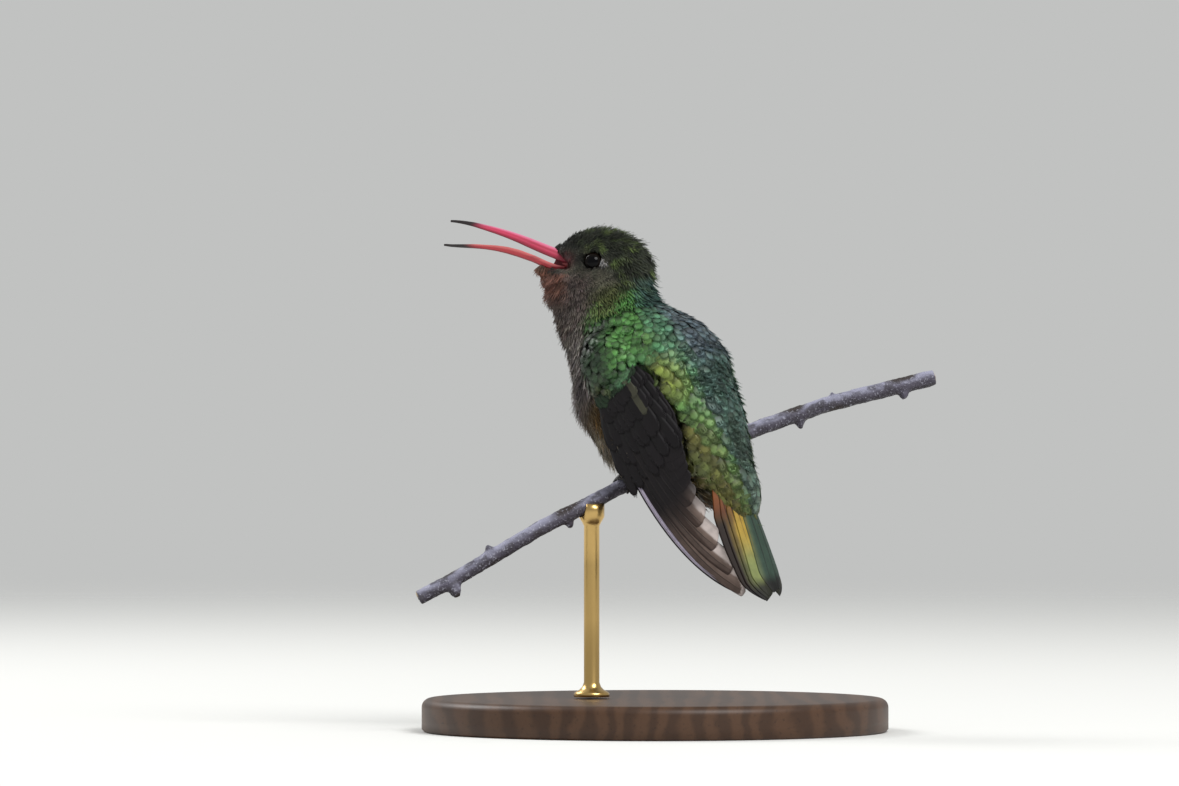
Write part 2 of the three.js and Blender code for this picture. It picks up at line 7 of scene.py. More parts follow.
import math

import bpy
import numpy as np
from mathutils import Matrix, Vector
from mathutils.bvhtree import BVHTree


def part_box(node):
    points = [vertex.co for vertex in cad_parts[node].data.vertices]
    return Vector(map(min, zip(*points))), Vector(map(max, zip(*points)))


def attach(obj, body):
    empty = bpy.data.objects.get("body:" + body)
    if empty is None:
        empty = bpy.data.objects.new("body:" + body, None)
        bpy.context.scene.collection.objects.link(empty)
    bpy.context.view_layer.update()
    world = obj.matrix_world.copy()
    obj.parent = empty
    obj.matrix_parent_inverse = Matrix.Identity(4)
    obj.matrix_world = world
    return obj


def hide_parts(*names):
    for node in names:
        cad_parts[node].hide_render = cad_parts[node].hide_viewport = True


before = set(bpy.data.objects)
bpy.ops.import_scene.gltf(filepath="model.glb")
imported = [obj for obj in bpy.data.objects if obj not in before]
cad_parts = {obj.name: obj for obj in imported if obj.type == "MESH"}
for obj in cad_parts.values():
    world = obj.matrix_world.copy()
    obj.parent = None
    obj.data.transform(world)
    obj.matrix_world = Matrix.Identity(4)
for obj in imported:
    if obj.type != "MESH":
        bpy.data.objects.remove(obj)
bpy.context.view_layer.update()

MM = 0.001
rng = np.random.default_rng(7)

# ---------------------------------------------------------------- sizes shared with the CAD frame

TRUNK_TURN = math.radians(34)  # of the trunk's heading, from -X towards +Y
HEAD_TURN = math.radians(8)
UP = np.array([0.0, 0.0, 1.0])
FORWARD = np.array([-math.cos(TRUNK_TURN), math.sin(TRUNK_TURN), 0.0])
LEFT = np.array([-math.sin(TRUNK_TURN), -math.cos(TRUNK_TURN), 0.0])
SIDES = {"left": 1, "right": -1}

WING = {
    "wrist_forward": 4.96,
    "wrist_height": 61.1,
    "pitch": math.radians(53.2),
    "root_aside": 11.0,
    "tip_aside": 4.5,
    "reach": 46.0,
    "camber": 0.012,
    "layer": 0.07,
}
RIGHT_WING_CLOSED, RIGHT_WING_RAISED = 0.27, 0.027  # held so that the tail hides it in the photo
PRIMARY_REACH = [44.3, 44.9, 40.6, 35.6, 30.9, 27.0, 24.4, 22.4, 20.7, 19.1]
PRIMARIES, SECONDARIES = len(PRIMARY_REACH), 6
TAIL = {
    "root_forward": -17.4,
    "root_height": 45.6,
    "pitch": math.radians(65.4),
    "arch": 0.07,
    "half_width": 1.9,
    "layer": 0.1,
}
RECTRIX_LENGTH = [22.3, 22.7, 23.2, 23.5, 23.2]

# The bird's middle line from the root of the bill to the tip of the tail: forward turn, then place.
SPINE = [
    (-18.2, 7.2, 85.0),
    (-13.5, 6.5, 85.4),
    (-8.8, 5.9, 84.0),
    (-8.2, 5.8, 79.5),
    (-7.0, 4.8, 74.0),
    (-4.5, 3.0, 68.5),
    (0.0, 0.0, 61.5),
    (6.5, -4.4, 53.5),
    (12.5, -8.4, 46.5),
    (16.5, -11.1, 38.5),
    (22.5, -15.2, 24.2),
]

# ---------------------------------------------------------------- small tools


def unit(v):
    return v / np.maximum(np.linalg.norm(v, axis=-1, keepdims=True), 1e-12)


def step(low, high, x):
    """0 below low and 1 above high, smooth between. High may be the smaller."""
    t = np.clip((np.asarray(x, float) - low) / (high - low), 0, 1)
    return t * t * (3 - 2 * t)


def bump(x, centre, width):
    """1 at the centre, falling to nearly 0 at twice the width from it."""
    return np.exp(-(((np.asarray(x, float) - centre) / width) ** 2))


def mix(a, b, share):
    return a + (b - a) * np.asarray(share)[..., None]


def colour(red, green, blue):
    """A colour as seen, 0 to 255, in linear light."""
    c = np.array([red, green, blue], float) / 255
    return np.where(c <= 0.04045, c / 12.92, ((c + 0.055) / 1.055) ** 2.4)


def spline(rows, t):
    """Catmull-Rom through rows of numbers at each t from 0 to 1."""
    rows = np.asarray(rows, float)
    last = len(rows) - 1
    at = np.clip(np.asarray(t, float), 0, 1) * last
    i = np.minimum(at.astype(int), last - 1)
    f = (at - i)[:, None]
    p, q, r, s = (rows[np.clip(i + k, 0, last)] for k in (-1, 0, 1, 2))
    return 0.5 * (2 * q + f * (r - p + f * (2 * p - 5 * q + 4 * r - s + f * (3 * q - p - 3 * r + s))))


def noise(points, size, seed):
    """Smooth noise from -1 to 1 with features of about this size, a sum of waves in all directions."""
    local = np.random.default_rng(seed)
    total, waves = 0, 6
    for _ in range(waves):
        way = unit(local.normal(size=3))
        pace = local.uniform(0.6, 1.3)
        total = total + np.sin(points @ way * (2 * np.pi / size) * pace + local.uniform(0, 6.28))
    return total / waves * 1.6


def even_out(rows, passes):
    """Evens out rows of numbers in place, each with the rows before and after it. The ends stay."""
    for _ in range(passes):
        rows[1:-1] = (rows[:-2] + 2 * rows[1:-1] + rows[2:]) / 4


def circle(count):
    """Angles evenly round a circle."""
    return np.linspace(0, 2 * np.pi, count, endpoint=False)


def vertex_normals(points, triangles):
    a, b, c = (points[triangles[:, k]] for k in range(3))
    face = np.cross(b - a, c - a)
    total = np.zeros_like(points)
    for k in range(3):
        np.add.at(total, triangles[:, k], face)
    return unit(total)


def split_quads(quads):
    return np.concatenate([quads[:, [0, 1, 2]], quads[:, [0, 2, 3]]])


def ring_quads(count, sides):
    """Quads between neighbours of so many closed rings."""
    i, j = np.meshgrid(np.arange(count - 1), np.arange(sides), indexing="ij")
    a, b = (i * sides + j).ravel(), (i * sides + (j + 1) % sides).ravel()
    return np.stack([a, b, b + sides, a + sides], 1)


def loft(rings):
    """Points and triangles of a closed form over rings of points, an array (rings, sides, 3)."""
    count, sides = rings.shape[:2]
    points = np.concatenate([rings.reshape(-1, 3), rings[:1].mean(1), rings[-1:].mean(1)])
    j = np.arange(sides)
    k, hub, top = (j + 1) % sides, count * sides, (count - 1) * sides
    first = np.stack([np.full(sides, hub), k, j], 1)
    last = np.stack([np.full(sides, hub + 1), top + j, top + k], 1)
    return points, np.concatenate([split_quads(ring_quads(count, sides)), first, last])


def joined(parts):
    """Several (points, triangles) as one."""
    points, faces, start = [], [], 0
    for p, f in parts:
        points.append(p)
        faces.append(f + start)
        start += len(p)
    return np.concatenate(points), np.concatenate(faces)


def tube(path, radii, sides):
    """A closed round rod along a path, with one radius a point."""
    along = unit(np.gradient(path, axis=0))
    side = np.cross(along, UP)
    weak = np.linalg.norm(side, axis=1) < 0.2
    side[weak] = np.cross(along[weak], FORWARD)
    side = unit(side)
    over = np.cross(side, along)
    a = circle(sides)[None, :, None]
    around = side[:, None] * np.cos(a) + over[:, None] * np.sin(a)
    return loft(path[:, None] + radii[:, None, None] * around)


def tree_of(points, triangles):
    return BVHTree.FromPolygons(points.tolist(), triangles.tolist(), all_triangles=True)


def rows_of(items, key, width, kind):
    """One property of every vertex, loop or triangle of a mesh, a row each."""
    flat = np.empty(len(items) * width, kind)
    items.foreach_get(key, flat)
    return flat.reshape(-1, width)


def node_arrays(*names):
    """The points and triangles of CAD nodes, in millimetres, with doubled points merged."""
    parts = []
    for name in names:
        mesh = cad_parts[name].data
        mesh.calc_loop_triangles()
        places = rows_of(mesh.vertices, "co", 3, float)
        corners = rows_of(mesh.loop_triangles, "vertices", 3, np.int32)
        points, back = np.unique(np.round(places / MM, 4), axis=0, return_inverse=True)
        parts.append((points, back.reshape(-1)[corners]))
    return joined(parts)


def middle(node):
    low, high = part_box(node)
    return np.array((low + high) / 2) / MM


def mesh_of(name, points, faces, scale=MM):
    """A smooth mesh from points and an array of faces."""
    mesh = bpy.data.meshes.new(name)
    mesh.vertices.add(len(points))
    mesh.vertices.foreach_set("co", (points * scale).astype(np.float32).ravel())
    mesh.loops.add(faces.size)
    mesh.loops.foreach_set("vertex_index", faces.astype(np.int32).ravel())
    mesh.polygons.add(len(faces))
    mesh.polygons.foreach_set("loop_start", np.arange(0, faces.size, faces.shape[1], dtype=np.int32))
    mesh.polygons.foreach_set("use_smooth", np.ones(len(faces), bool))
    mesh.update(calc_edges=True)
    mesh.validate()
    return mesh


def link(name, data):
    made = bpy.data.objects.new(name, data)
    bpy.context.scene.collection.objects.link(made)
    return made


def add_piece(name, points, faces, material, slot, tint=None, values=None, bake=None, replaces=()):
    """A piece that rides with the bird. tint is a colour a point, values are named numbers a point,
    and bake is a place a point on the map that its colours are baked to."""
    mesh = mesh_of(name, points, faces)
    if tint is not None:
        layer = mesh.color_attributes.new("tint", "FLOAT_COLOR", "POINT")
        rgba = np.concatenate([np.clip(tint, 0, 1), np.ones((len(points), 1))], 1)
        layer.data.foreach_set("color", rgba.astype(np.float32).ravel())
    for key, numbers in (values or {}).items():
        layer = mesh.attributes.new(key, "FLOAT", "POINT")
        layer.data.foreach_set("value", np.asarray(numbers, np.float32))
    if bake is not None:
        layer = mesh.uv_layers.new(name="OFBake")
        corners = rows_of(mesh.loops, "vertex_index", 1, np.int32)[:, 0]
        layer.uv.foreach_set("vector", bake[corners].astype(np.float32).ravel())
    mesh.materials.append(material)
    made = link(name, mesh)
    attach(made, "root")
    if replaces:
        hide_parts(*replaces)


def remeshed(nodes, grown, voxel):
    """One closed skin round CAD nodes that are first grown a little, as points and quads."""
    points, triangles = node_arrays(*nodes)
    points = points + grown * vertex_normals(points, triangles)
    source = link("remesh", mesh_of("remesh", points, triangles, 1.0))
    modifier = source.modifiers.new("voxels", "REMESH")
    modifier.mode = "VOXEL"
    modifier.voxel_size = voxel
    mesh = source.evaluated_get(bpy.context.evaluated_depsgraph_get()).to_mesh()
    places = rows_of(mesh.vertices, "co", 3, float)
    quads = rows_of(mesh.loops, "vertex_index", 1, np.int32).reshape(-1, 4)
    data = source.data
    bpy.data.objects.remove(source)
    bpy.data.meshes.remove(data)
    return places, quads


def smoothed(points, quads, passes, share=0.5):
    """Each point moved towards the mean of its neighbours, share of the way on each pass."""
    edges = np.concatenate([quads[:, [k, (k + 1) % 4]] for k in range(4)])
    count = np.bincount(edges[:, 0], minlength=len(points))[:, None]
    share = np.broadcast_to(share, len(points))[:, None]
    for _ in range(passes):
        sums = [np.bincount(edges[:, 0], points[edges[:, 1], k], len(points)) for k in range(3)]
        points = points + share * (np.stack(sums, 1) / np.maximum(count, 1) - points)
    return points


# ---------------------------------------------------------------- the bird's own directions

SPINE_STATIONS = 121


def trunk_point(forward, height, left):
    forward, height, left = np.broadcast_arrays(forward, height, left)
    return forward[..., None] * FORWARD + height[..., None] * UP + left[..., None] * LEFT


def spine_frame():
    """Places, directions and dorsal directions along the middle line, with the distance from the bill."""
    places = spline(SPINE, np.linspace(0, 1, SPINE_STATIONS))
    along = unit(np.gradient(places, axis=0))
    turn = HEAD_TURN + (TRUNK_TURN - HEAD_TURN) * step(77, 69, places[:, 2])
    left = np.stack([-np.sin(turn), -np.cos(turn), 0 * turn], 1)
    dorsal = unit(np.cross(left, along))
    reach = np.concatenate([[0], np.cumsum(np.linalg.norm(np.diff(places, axis=0), axis=1))])
    return places, along, dorsal, left, reach


SPINE_PLACES, SPINE_ALONG, SPINE_DORSAL, SPINE_LEFT, SPINE_REACH = spine_frame()


def body_place(points):
    """How far along the middle line each point is, its angle from the back's middle (0) to the
    belly's (180), the side it is on, and which way its feathers lie."""
    away = points[:, None] - SPINE_PLACES[None]
    distance = (away**2).sum(2)
    nearest = distance.min(1, keepdims=True)
    weight = np.exp(-(distance - nearest) / (2 * (1 + 0.4 * np.sqrt(nearest)) ** 2))
    weight /= weight.sum(1, keepdims=True)
    reach = weight @ SPINE_REACH
    lie = unit(weight @ SPINE_ALONG)
    dorsal, left = unit(weight @ SPINE_DORSAL), unit(weight @ SPINE_LEFT)
    offset = points - weight @ SPINE_PLACES
    up, aside = (offset * dorsal).sum(1), (offset * left).sum(1)
    return reach, np.degrees(np.arctan2(np.abs(aside), up)), np.sign(aside), lie


def wing_point(u, v, w, side):
    share = np.clip(u / WING["reach"], 0, 1)
    aside = WING["tip_aside"] + (WING["root_aside"] - WING["tip_aside"]) * (1 - share**1.6)
    if side < 0:
        v = v * (1 - RIGHT_WING_CLOSED * step(8, 26, u)) + RIGHT_WING_RAISED * np.maximum(u, 0)
    left = aside - WING["camber"] * (v - 1) ** 2 + w
    c, s = math.cos(WING["pitch"]), math.sin(WING["pitch"])
    forward = WING["wrist_forward"] - u * c - v * s
    return trunk_point(forward, WING["wrist_height"] - u * s + v * c, side * left)


def wing_place(points):
    """Each point's u along the folded wing and v across it."""
    c, s = math.cos(WING["pitch"]), math.sin(WING["pitch"])
    f = points @ FORWARD - WING["wrist_forward"]
    h = points[:, 2] - WING["wrist_height"]
    return -f * c - h * s, -f * s + h * c


def tail_point(s, q, p):
    rise = p - TAIL["arch"] * q * q
    c, d = math.cos(TAIL["pitch"]), math.sin(TAIL["pitch"])
    return trunk_point(TAIL["root_forward"] - s * c - rise * d, TAIL["root_height"] - s * d + rise * c, q)


EYES = {side: middle(f"eye_{side}") for side in SIDES}
EYE_RADIUS = (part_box("eye_left")[1][2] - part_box("eye_left")[0][2]) / 2 / MM
EYE_OUT = unit(EYES["left"] - EYES["right"])


def from_eye_axis(points, between):
    """Each point's offset square to the axis of the eye that is on its side of a place between them."""
    left = (points - between) @ EYE_OUT > 0
    offset = points - np.where(left[:, None], EYES["left"], EYES["right"])
    return offset - (offset @ EYE_OUT)[:, None] * EYE_OUT


def eye_place(points):
    """Each point's distance from the nearer eye's axis, as seen from the side, and its direction there:
    how far ahead, and how far up."""
    flat = from_eye_axis(points, (EYES["left"] + EYES["right"]) / 2)
    return np.linalg.norm(flat, axis=1), -flat[:, 0], flat[:, 2]


# ---------------------------------------------------------------- markings, shared by skin and coat

SLATE = colour(74, 90, 99)
SLATE_GREEN = colour(74, 102, 94)
GREY_GREEN = colour(82, 104, 92)
BLUE_GREEN = colour(72, 118, 88)
GRASS = colour(78, 116, 62)
LEAF = colour(72, 122, 60)
FOREST = colour(42, 66, 42)
LIME = colour(114, 130, 58)
MOSS = colour(88, 108, 58)
OLIVE = colour(88, 86, 38)
BARK_OLIVE = colour(64, 56, 28)
OLIVE_GOLD = colour(98, 100, 46)
CROWN = colour(52, 56, 46)
CROWN_GLINT = colour(92, 108, 58)
NIGHT = colour(20, 21, 20)
CHEEK = colour(92, 90, 78)
CHEEK_OLIVE = colour(86, 92, 54)
NAPE = colour(62, 90, 84)
RUFOUS = colour(142, 84, 62)
DUSK = colour(92, 82, 78)
BREAST = colour(134, 126, 124)
OCHRE = colour(100, 78, 42)
FLUFF = colour(190, 184, 170)
BUFF = colour(122, 94, 64)
WHITE = colour(156, 156, 154)
# Dark crimson of the gape's flesh, partly painted shade inside the mouth and under the feathers' edge at the
# bill's root.
MOUTH_IN_SHADE = colour(96, 18, 30)


def back_marking(c, points, reach, angle):
    """Back, wings' roots and rump: slate along the middle, then greens, then olive at the sides."""
    c = mix(c, SLATE_GREEN, step(36, 42, reach) * step(36, 24, angle))
    c = mix(c, GREY_GREEN, step(50, 57, reach) * step(40, 24, angle))
    c = mix(c, BLUE_GREEN, step(20, 34, angle) * step(50, 40, reach))
    c = mix(c, LEAF, step(40, 54, angle) * step(35, 30, reach))
    c = mix(c, GRASS, step(26, 40, angle) * step(36, 42, reach))
    c = mix(c, LIME, bump(angle, 54, 14) * step(32, 36, reach) * step(46, 40, reach))
    c = mix(c, MOSS, step(32, 50, angle) * step(46, 52, reach))
    c = mix(c, OLIVE, step(56, 68, angle) * step(34, 41, reach))
    c = mix(c, BARK_OLIVE, step(64, 76, angle) * step(33, 37, reach) * step(52, 44, reach))
    c = mix(c, OLIVE_GOLD, step(60, 84, angle) * step(50, 57, reach))
    # Dark green at the wing's bend: the feathers' own green, deepened partly by painted shade there.
    c = mix(c, FOREST, step(76, 94, angle) * step(19, 23, reach) * step(35, 31, reach))
    glint = bump(noise(points, 5, 3), 0.9, 0.45)
    c = mix(c, LIME, 0.4 * glint * step(30, 55, angle) * step(26, 31, reach) * step(104, 84, angle))
    return mix(c, FOREST, 0.45 * bump(noise(points, 8, 4), 0.9, 0.4) * step(25, 30, reach))


def head_marking(c, points, reach, angle):
    """Dark crown with green glints, grey cheek, black round the eye, and a pale spot behind it."""
    from_eye, ahead, above = eye_place(points)
    head = step(18.5, 14.5, reach)
    c = mix(c, CROWN, head)
    c = mix(c, NAPE, step(60, 22, angle) * step(13, 16.5, reach) * step(24, 19, reach))
    glints = 0.75 * head * bump(noise(points, 2.6, 5), 0.9, 0.5)
    c = mix(c, CROWN_GLINT, glints * step(95, 60, angle) * step(4, 8, reach))
    c = mix(c, NIGHT, 0.8 * step(62, 30, angle) * step(6.5, 3, reach))
    c = mix(c, CHEEK, step(62, 78, angle) * step(17.5, 14, reach) * step(2, 4, reach))
    c = mix(c, CHEEK_OLIVE, bump(angle, 84, 22) * step(12.5, 16, reach) * step(21, 19, reach))
    c = mix(c, LEAF, 0.55 * bump(angle, 58, 16) * step(16, 18.5, reach) * step(24, 21, reach))
    c = mix(c, NIGHT, 0.9 * bump(from_eye, 0, 2.3) * head)
    lores = bump(above - 0.28 * ahead, -0.2, 1.2) * step(0.8, 2.2, ahead) * step(6.4, 5.2, ahead)
    c = mix(c, NIGHT, 0.85 * lores * head)
    # Dark crimson in the gape's corner, partly painted shade there.
    c = mix(c, MOUTH_IN_SHADE, 0.75 * (bump(points[:, 0], -15.9, 1.1) * bump(points[:, 2], 84.7, 1.4)))
    c = c * (1 + 0.3 * head * noise(points, 1.5, 7))[:, None]
    from_spot = np.hypot((ahead + 2.1) / 0.36, (above + 0.45) / 0.55)
    return mix(c, WHITE, step(1.2, 0.7, from_spot) * head)


def front_marking(c, points, reach, angle):
    """Chin, throat, breast, belly and under the tail."""
    _, ahead, above = eye_place(points)
    c = mix(c, DUSK, step(98, 126, angle) * step(5, 9, reach) * step(26, 20, reach))
    c = mix(c, BREAST, step(108, 126, angle) * step(18, 24, reach) * step(40, 32, reach))
    c = mix(c, OCHRE, step(96, 112, angle) * step(30, 34, reach) * step(66, 56, reach))
    c = mix(c, BREAST, 0.6 * step(138, 165, angle) * step(30, 34, reach) * step(46, 40, reach))
    c = mix(c, FLUFF, 0.55 * step(132, 150, angle) * step(32.5, 36.5, reach) * step(60, 54, reach))
    c = mix(c, BUFF, step(110, 140, angle) * step(55, 60, reach))
    c = mix(c, BARK_OLIVE, 0.7 * step(98, 106, angle) * step(140, 122, angle) * step(42, 50, reach))
    c = mix(c, DUSK, step(-1.6, -3.2, above) * step(-1.0, 1.8, ahead) * step(13, 9, -above))
    chin = step(-1.6, -2.8, above) * step(4.0, 6.0, ahead)
    return mix(c, RUFOUS, 0.62 * chin * step(9.0, 5.0, -above) * (0.75 + 0.25 * noise(points, 1.2, 6)))


def crease(reach, angle, width):
    """1 in the crease between the neck and the wing's root."""
    return bump(reach - 20.5 - (angle - 78) * 0.125, 0, width) * step(68, 80, angle) * step(126, 112, angle)


def marking(points):
    """The plumage's colour at each point."""
    reach, angle, _, _ = body_place(points)
    c = np.broadcast_to(SLATE, points.shape)
    for mark in (back_marking, head_marking, front_marking):
        c = mark(c, points, reach, angle)
    # Painted shade: the crease between the neck and the wing's root is darkened nearly to black.
    c = mix(c, NIGHT, 0.8 * crease(reach, angle, 0.9))
    return c * (1 + 0.12 * noise(points, 2.2, 9))[:, None]


# ---------------------------------------------------------------- materials

BARB_PITCH = 0.16  # between the lines drawn on the body's feathers
FLIGHT_PITCH = 0.34  # and on flight feathers


class Nodes:
    """A node material under construction, with short calls for the nodes that it uses."""

    def __init__(self, name):
        self.material = bpy.data.materials.new(name)
        self.material.use_nodes = True
        self.tree = self.material.node_tree
        self.shader = next(n for n in self.tree.nodes if n.type == "BSDF_PRINCIPLED")

    def put(self, socket, value):
        if isinstance(value, bpy.types.NodeSocket):
            self.tree.links.new(value, socket)
        elif isinstance(value, (int, float)):
            socket.default_value = value
        elif socket.type == "RGBA":
            socket.default_value = (*value[:3], 1.0)
        else:
            socket.default_value = tuple(value)

    def node(self, kind, **inputs):
        made = self.tree.nodes.new(kind)
        for key, value in inputs.items():
            self.put(made.inputs[key.replace("_", " ")], value)
        return made

    def math(self, operation, a, b=0.0):
        made = self.tree.nodes.new("ShaderNodeMath")
        made.operation = operation
        self.put(made.inputs[0], a)
        self.put(made.inputs[1], b)
        return made.outputs[0]

    def attribute(self, name, output="Fac"):
        made = self.tree.nodes.new("ShaderNodeAttribute")
        made.attribute_name = name
        return made.outputs[output]

    def tint(self):
        return self.attribute("tint", "Color")

    def place(self):
        return self.tree.nodes.new("ShaderNodeTexCoord").outputs["Object"]

    def stretched(self, scale):
        return self.node("ShaderNodeMapping", Vector=self.place(), Scale=scale).outputs[0]

    def noise(self, scale, detail, vector=None):
        made = self.node("ShaderNodeTexNoise", Scale=scale, Detail=detail)
        self.put(made.inputs["Vector"], vector or self.place())
        return made.outputs["Fac"]

    def lines(self, place, pitch):
        """Fine parallel lines a pitch apart along a place in millimetres, from -1 to 1."""
        return self.math("SINE", self.math("MULTIPLY", place, 2 * math.pi / pitch))

    def ramp(self, value, low, high, out_low=0.0, out_high=1.0):
        made = self.tree.nodes.new("ShaderNodeMapRange")
        made.interpolation_type = "SMOOTHSTEP"
        for socket, x in zip(made.inputs, (value, low, high, out_low, out_high)):
            self.put(socket, x)
        return made.outputs[0]

    def blend(self, a, b, share, how="MIX"):
        made = self.tree.nodes.new("ShaderNodeMix")
        made.data_type = "RGBA"
        made.blend_type = how
        for socket, value in zip((made.inputs[0], made.inputs[6], made.inputs[7]), (share, a, b)):
            self.put(socket, value)
        return made.outputs[2]

    def times(self, base, light):
        """A colour made lighter or darker by a number."""
        grey = self.node("ShaderNodeCombineColor", Red=light, Green=light, Blue=light).outputs[0]
        return self.blend(base, grey, 1.0, "MULTIPLY")

    def bump(self, height, strength, distance):
        made = self.node("ShaderNodeBump", Height=height, Strength=strength, Distance=distance)
        self.put(self.shader.inputs["Normal"], made.outputs[0])

    def mottled(self, scale, relief, dark, light, limits, roughness, **uniform):
        """Two colours mixed by a fine noise, which also gives the relief: strength and distance."""
        spots = self.noise(scale, 3)
        self.bump(spots, *relief)
        share = self.ramp(spots, *limits) if limits else spots
        return self.finish(self.blend(dark, light, share), roughness, **uniform)

    def finish(self, base, roughness, metallic=0.0, **uniform):
        self.put(self.shader.inputs["Base Color"], base)
        self.put(self.shader.inputs["Roughness"], roughness)
        self.put(self.shader.inputs["Metallic"], metallic)
        for key, value in uniform.items():
            self.put(self.shader.inputs[key.replace("_", " ")], value)
        return self.material


def feather_material(name, roughness, rim, lines, shade, bronze=0.0, gloss=0.3, metallic=0.0):
    """Vanes tinted a point at a time, darker at the rim, and darker towards the root as painted shade under
    the feathers that overlap it, with fine barbs slanting off the shaft. along is the share of the feather's
    length, across of its half width, barb is in millimetres."""
    n = Nodes(name)
    along, across, luck, barb = (n.attribute(key) for key in ("along", "across", "luck", "barb"))
    aside = n.math("ABSOLUTE", across)
    barbs = n.lines(barb, BARB_PITCH)
    edge = n.math("MAXIMUM", n.ramp(along, 0.86, 1.02), n.math("MULTIPLY", n.ramp(aside, 0.8, 1.0), 0.7))
    base = n.blend(n.tint(), (1.1, 0.8, 0.42), n.ramp(along, 0.82, 0.5, 0.0, bronze), "MULTIPLY")
    # Painted shade towards the root, under the overlapping feathers, with the darker rim.
    dark = n.math("MAXIMUM", n.math("MULTIPLY", edge, rim), n.ramp(along, 0.7, 0.3, 0.0, shade))
    base = n.blend(base, (0.008, 0.009, 0.008), dark)
    light = n.math("ADD", n.math("MULTIPLY", barbs, lines), n.ramp(luck, 0.0, 1.0, 0.62, 1.38))
    base = n.times(base, light)
    n.bump(barbs, 2.5 * lines, 0.00002)
    rough = n.math("ADD", n.math("MULTIPLY", n.noise(1800, 2), 0.16), roughness - 0.08)
    return n.finish(base, rough, metallic, Specular_IOR_Level=gloss)


def skin_material():
    """Down between the feathers' roots: its tint, already darkened partly as painted shade in the gaps
    between the feathers, with a dark fine fuzz, and dull.
    """
    n = Nodes("down")
    fuzz = n.noise(2500, 5)
    base = n.blend(n.tint(), (0.01, 0.01, 0.01), n.ramp(fuzz, 0.35, 0.75, 0.1, 0.6))
    n.bump(fuzz, 0.5, 0.0002)
    return n.finish(base, 0.85)


def flight_material(name, metallic, roughness, lines, gloss):
    """Large flight feathers: tinted vanes with barbs and a hard shaft. barb is in millimetres."""
    n = Nodes(name)
    barb, shaft = n.attribute("barb"), n.attribute("shaft")
    barbs = n.lines(barb, FLIGHT_PITCH)
    shade = n.math("ADD", n.math("MULTIPLY", barbs, lines), n.ramp(n.noise(700, 4), 0.3, 0.7, 0.86, 1.1))
    base = n.times(n.tint(), shade)
    n.bump(barbs, 0.25, 0.00002)
    rough = n.math("SUBTRACT", roughness, n.math("MULTIPLY", shaft, 0.12))
    return n.finish(base, rough, metallic, Specular_IOR_Level=gloss)


# ---------------------------------------------------------------- skin

FLESH = ("trunk", "neck", "head", "wing_left", "wing_right")
FANS = ("wing_feathers_left", "wing_feathers_right", "tail")
CLOSING = 0.22  # grown by this before the cuts between the nodes are closed
SKIN_VOXEL = 0.5
SKIN_PASSES, FINAL_PASSES, OUTER_PASSES = 24, 4, 10  # of smoothing
OUTER_DEPTH = 0.3  # of the surface under feathers that lie over wing and tail
LID_ROOM = 0.1  # between the eyeball and the skin behind it
BILL_MIDDLE = middle("bill_upper")
# Where the feathers start beside the bill: X of their edge at each height.
FACE_EDGE = ([83.0, 84.3, 85.0, 86.4, 87.3], [-15.3, -15.2, -15.9, -17.1, -18.3])


def coat_depth(points):
    """How far the skin lies inside the feathered outline."""
    reach, angle, _, _ = body_place(points)
    from_bill = np.interp(reach, [0, 3, 7, 14, 22, 32], [0.12, 0.25, 0.45, 0.6, 0.85, 1.0])
    return from_bill + 0.35 * step(110, 150, angle) * step(34, 44, reach)


def bare_bill(points):
    """1 where the sides of the bill's root show, in front of the feathers' edge."""
    x, _, z = points.T
    return step(-0.2, 0.7, np.interp(z, *FACE_EDGE) - x) * step(82.9, 83.4, z) * step(87.7, 87.0, z)


def narrow_bill_root(points):
    """Draws the skin at the bare bill's root in to the middle plane, inside the bill."""
    bare = bare_bill(points)
    centre = BILL_MIDDLE[1] + (points[:, 0] - BILL_MIDDLE[0]) * math.tan(-HEAD_TURN)
    aside = points[:, 1] - centre
    points[:, 1] = centre + aside * (1 - bare) + np.clip(aside, -0.35, 0.35) * bare


def clear_eyes(points):
    """Pushes the skin out of the eyeballs."""
    radius = EYE_RADIUS + LID_ROOM
    for place in EYES.values():
        away = points - place
        inside = np.linalg.norm(away, axis=1) < radius
        points[inside] = place + unit(away[inside]) * radius


def make_skin():
    points, quads = remeshed(FLESH, CLOSING, SKIN_VOXEL)
    reach, angle, _, _ = body_place(points)
    calm = step(0.5, 6, np.linalg.norm(points - SPINE_PLACES[0], axis=1) - 1)
    calm = calm * step(1.6, 3.0, eye_place(points)[0] + 10 * step(14, 16, reach))
    points = smoothed(points, quads, SKIN_PASSES, 0.04 + 0.46 * calm)
    normals = vertex_normals(points, split_quads(quads))
    depth = coat_depth(points) + CLOSING + 0.5 * crease(reach, angle, 1.0)
    points = smoothed(points - depth[:, None] * normals, quads, FINAL_PASSES, 0.3)
    narrow_bill_root(points)
    clear_eyes(points)
    return points, quads


def make_outer():
    """The whole bird's outline, with wings and tail, for the feathers that lie over them."""
    points, quads = remeshed(FLESH + FANS, CLOSING, SKIN_VOXEL)
    points = smoothed(points, quads, OUTER_PASSES)
    return points - (CLOSING + OUTER_DEPTH) * vertex_normals(points, split_quads(quads)), quads


class Surface:
    """A closed shape that feathers stand or lie on."""

    def __init__(self, points, quads):
        self.points, self.quads = points, quads
        self.triangles = split_quads(quads)
        self.normals = vertex_normals(points, self.triangles)
        self.face_normals = unit(self.normals[self.triangles].sum(1))
        self.tree = tree_of(points, self.triangles)

    def nearest(self, point):
        place, _, face, _ = self.tree.find_nearest(point)
        return place, Vector(self.face_normals[face])

    def all_nearest(self, points):
        found = [self.nearest(Vector(point)) for point in points]
        return (np.array([pair[k] for pair in found], float) for k in range(2))


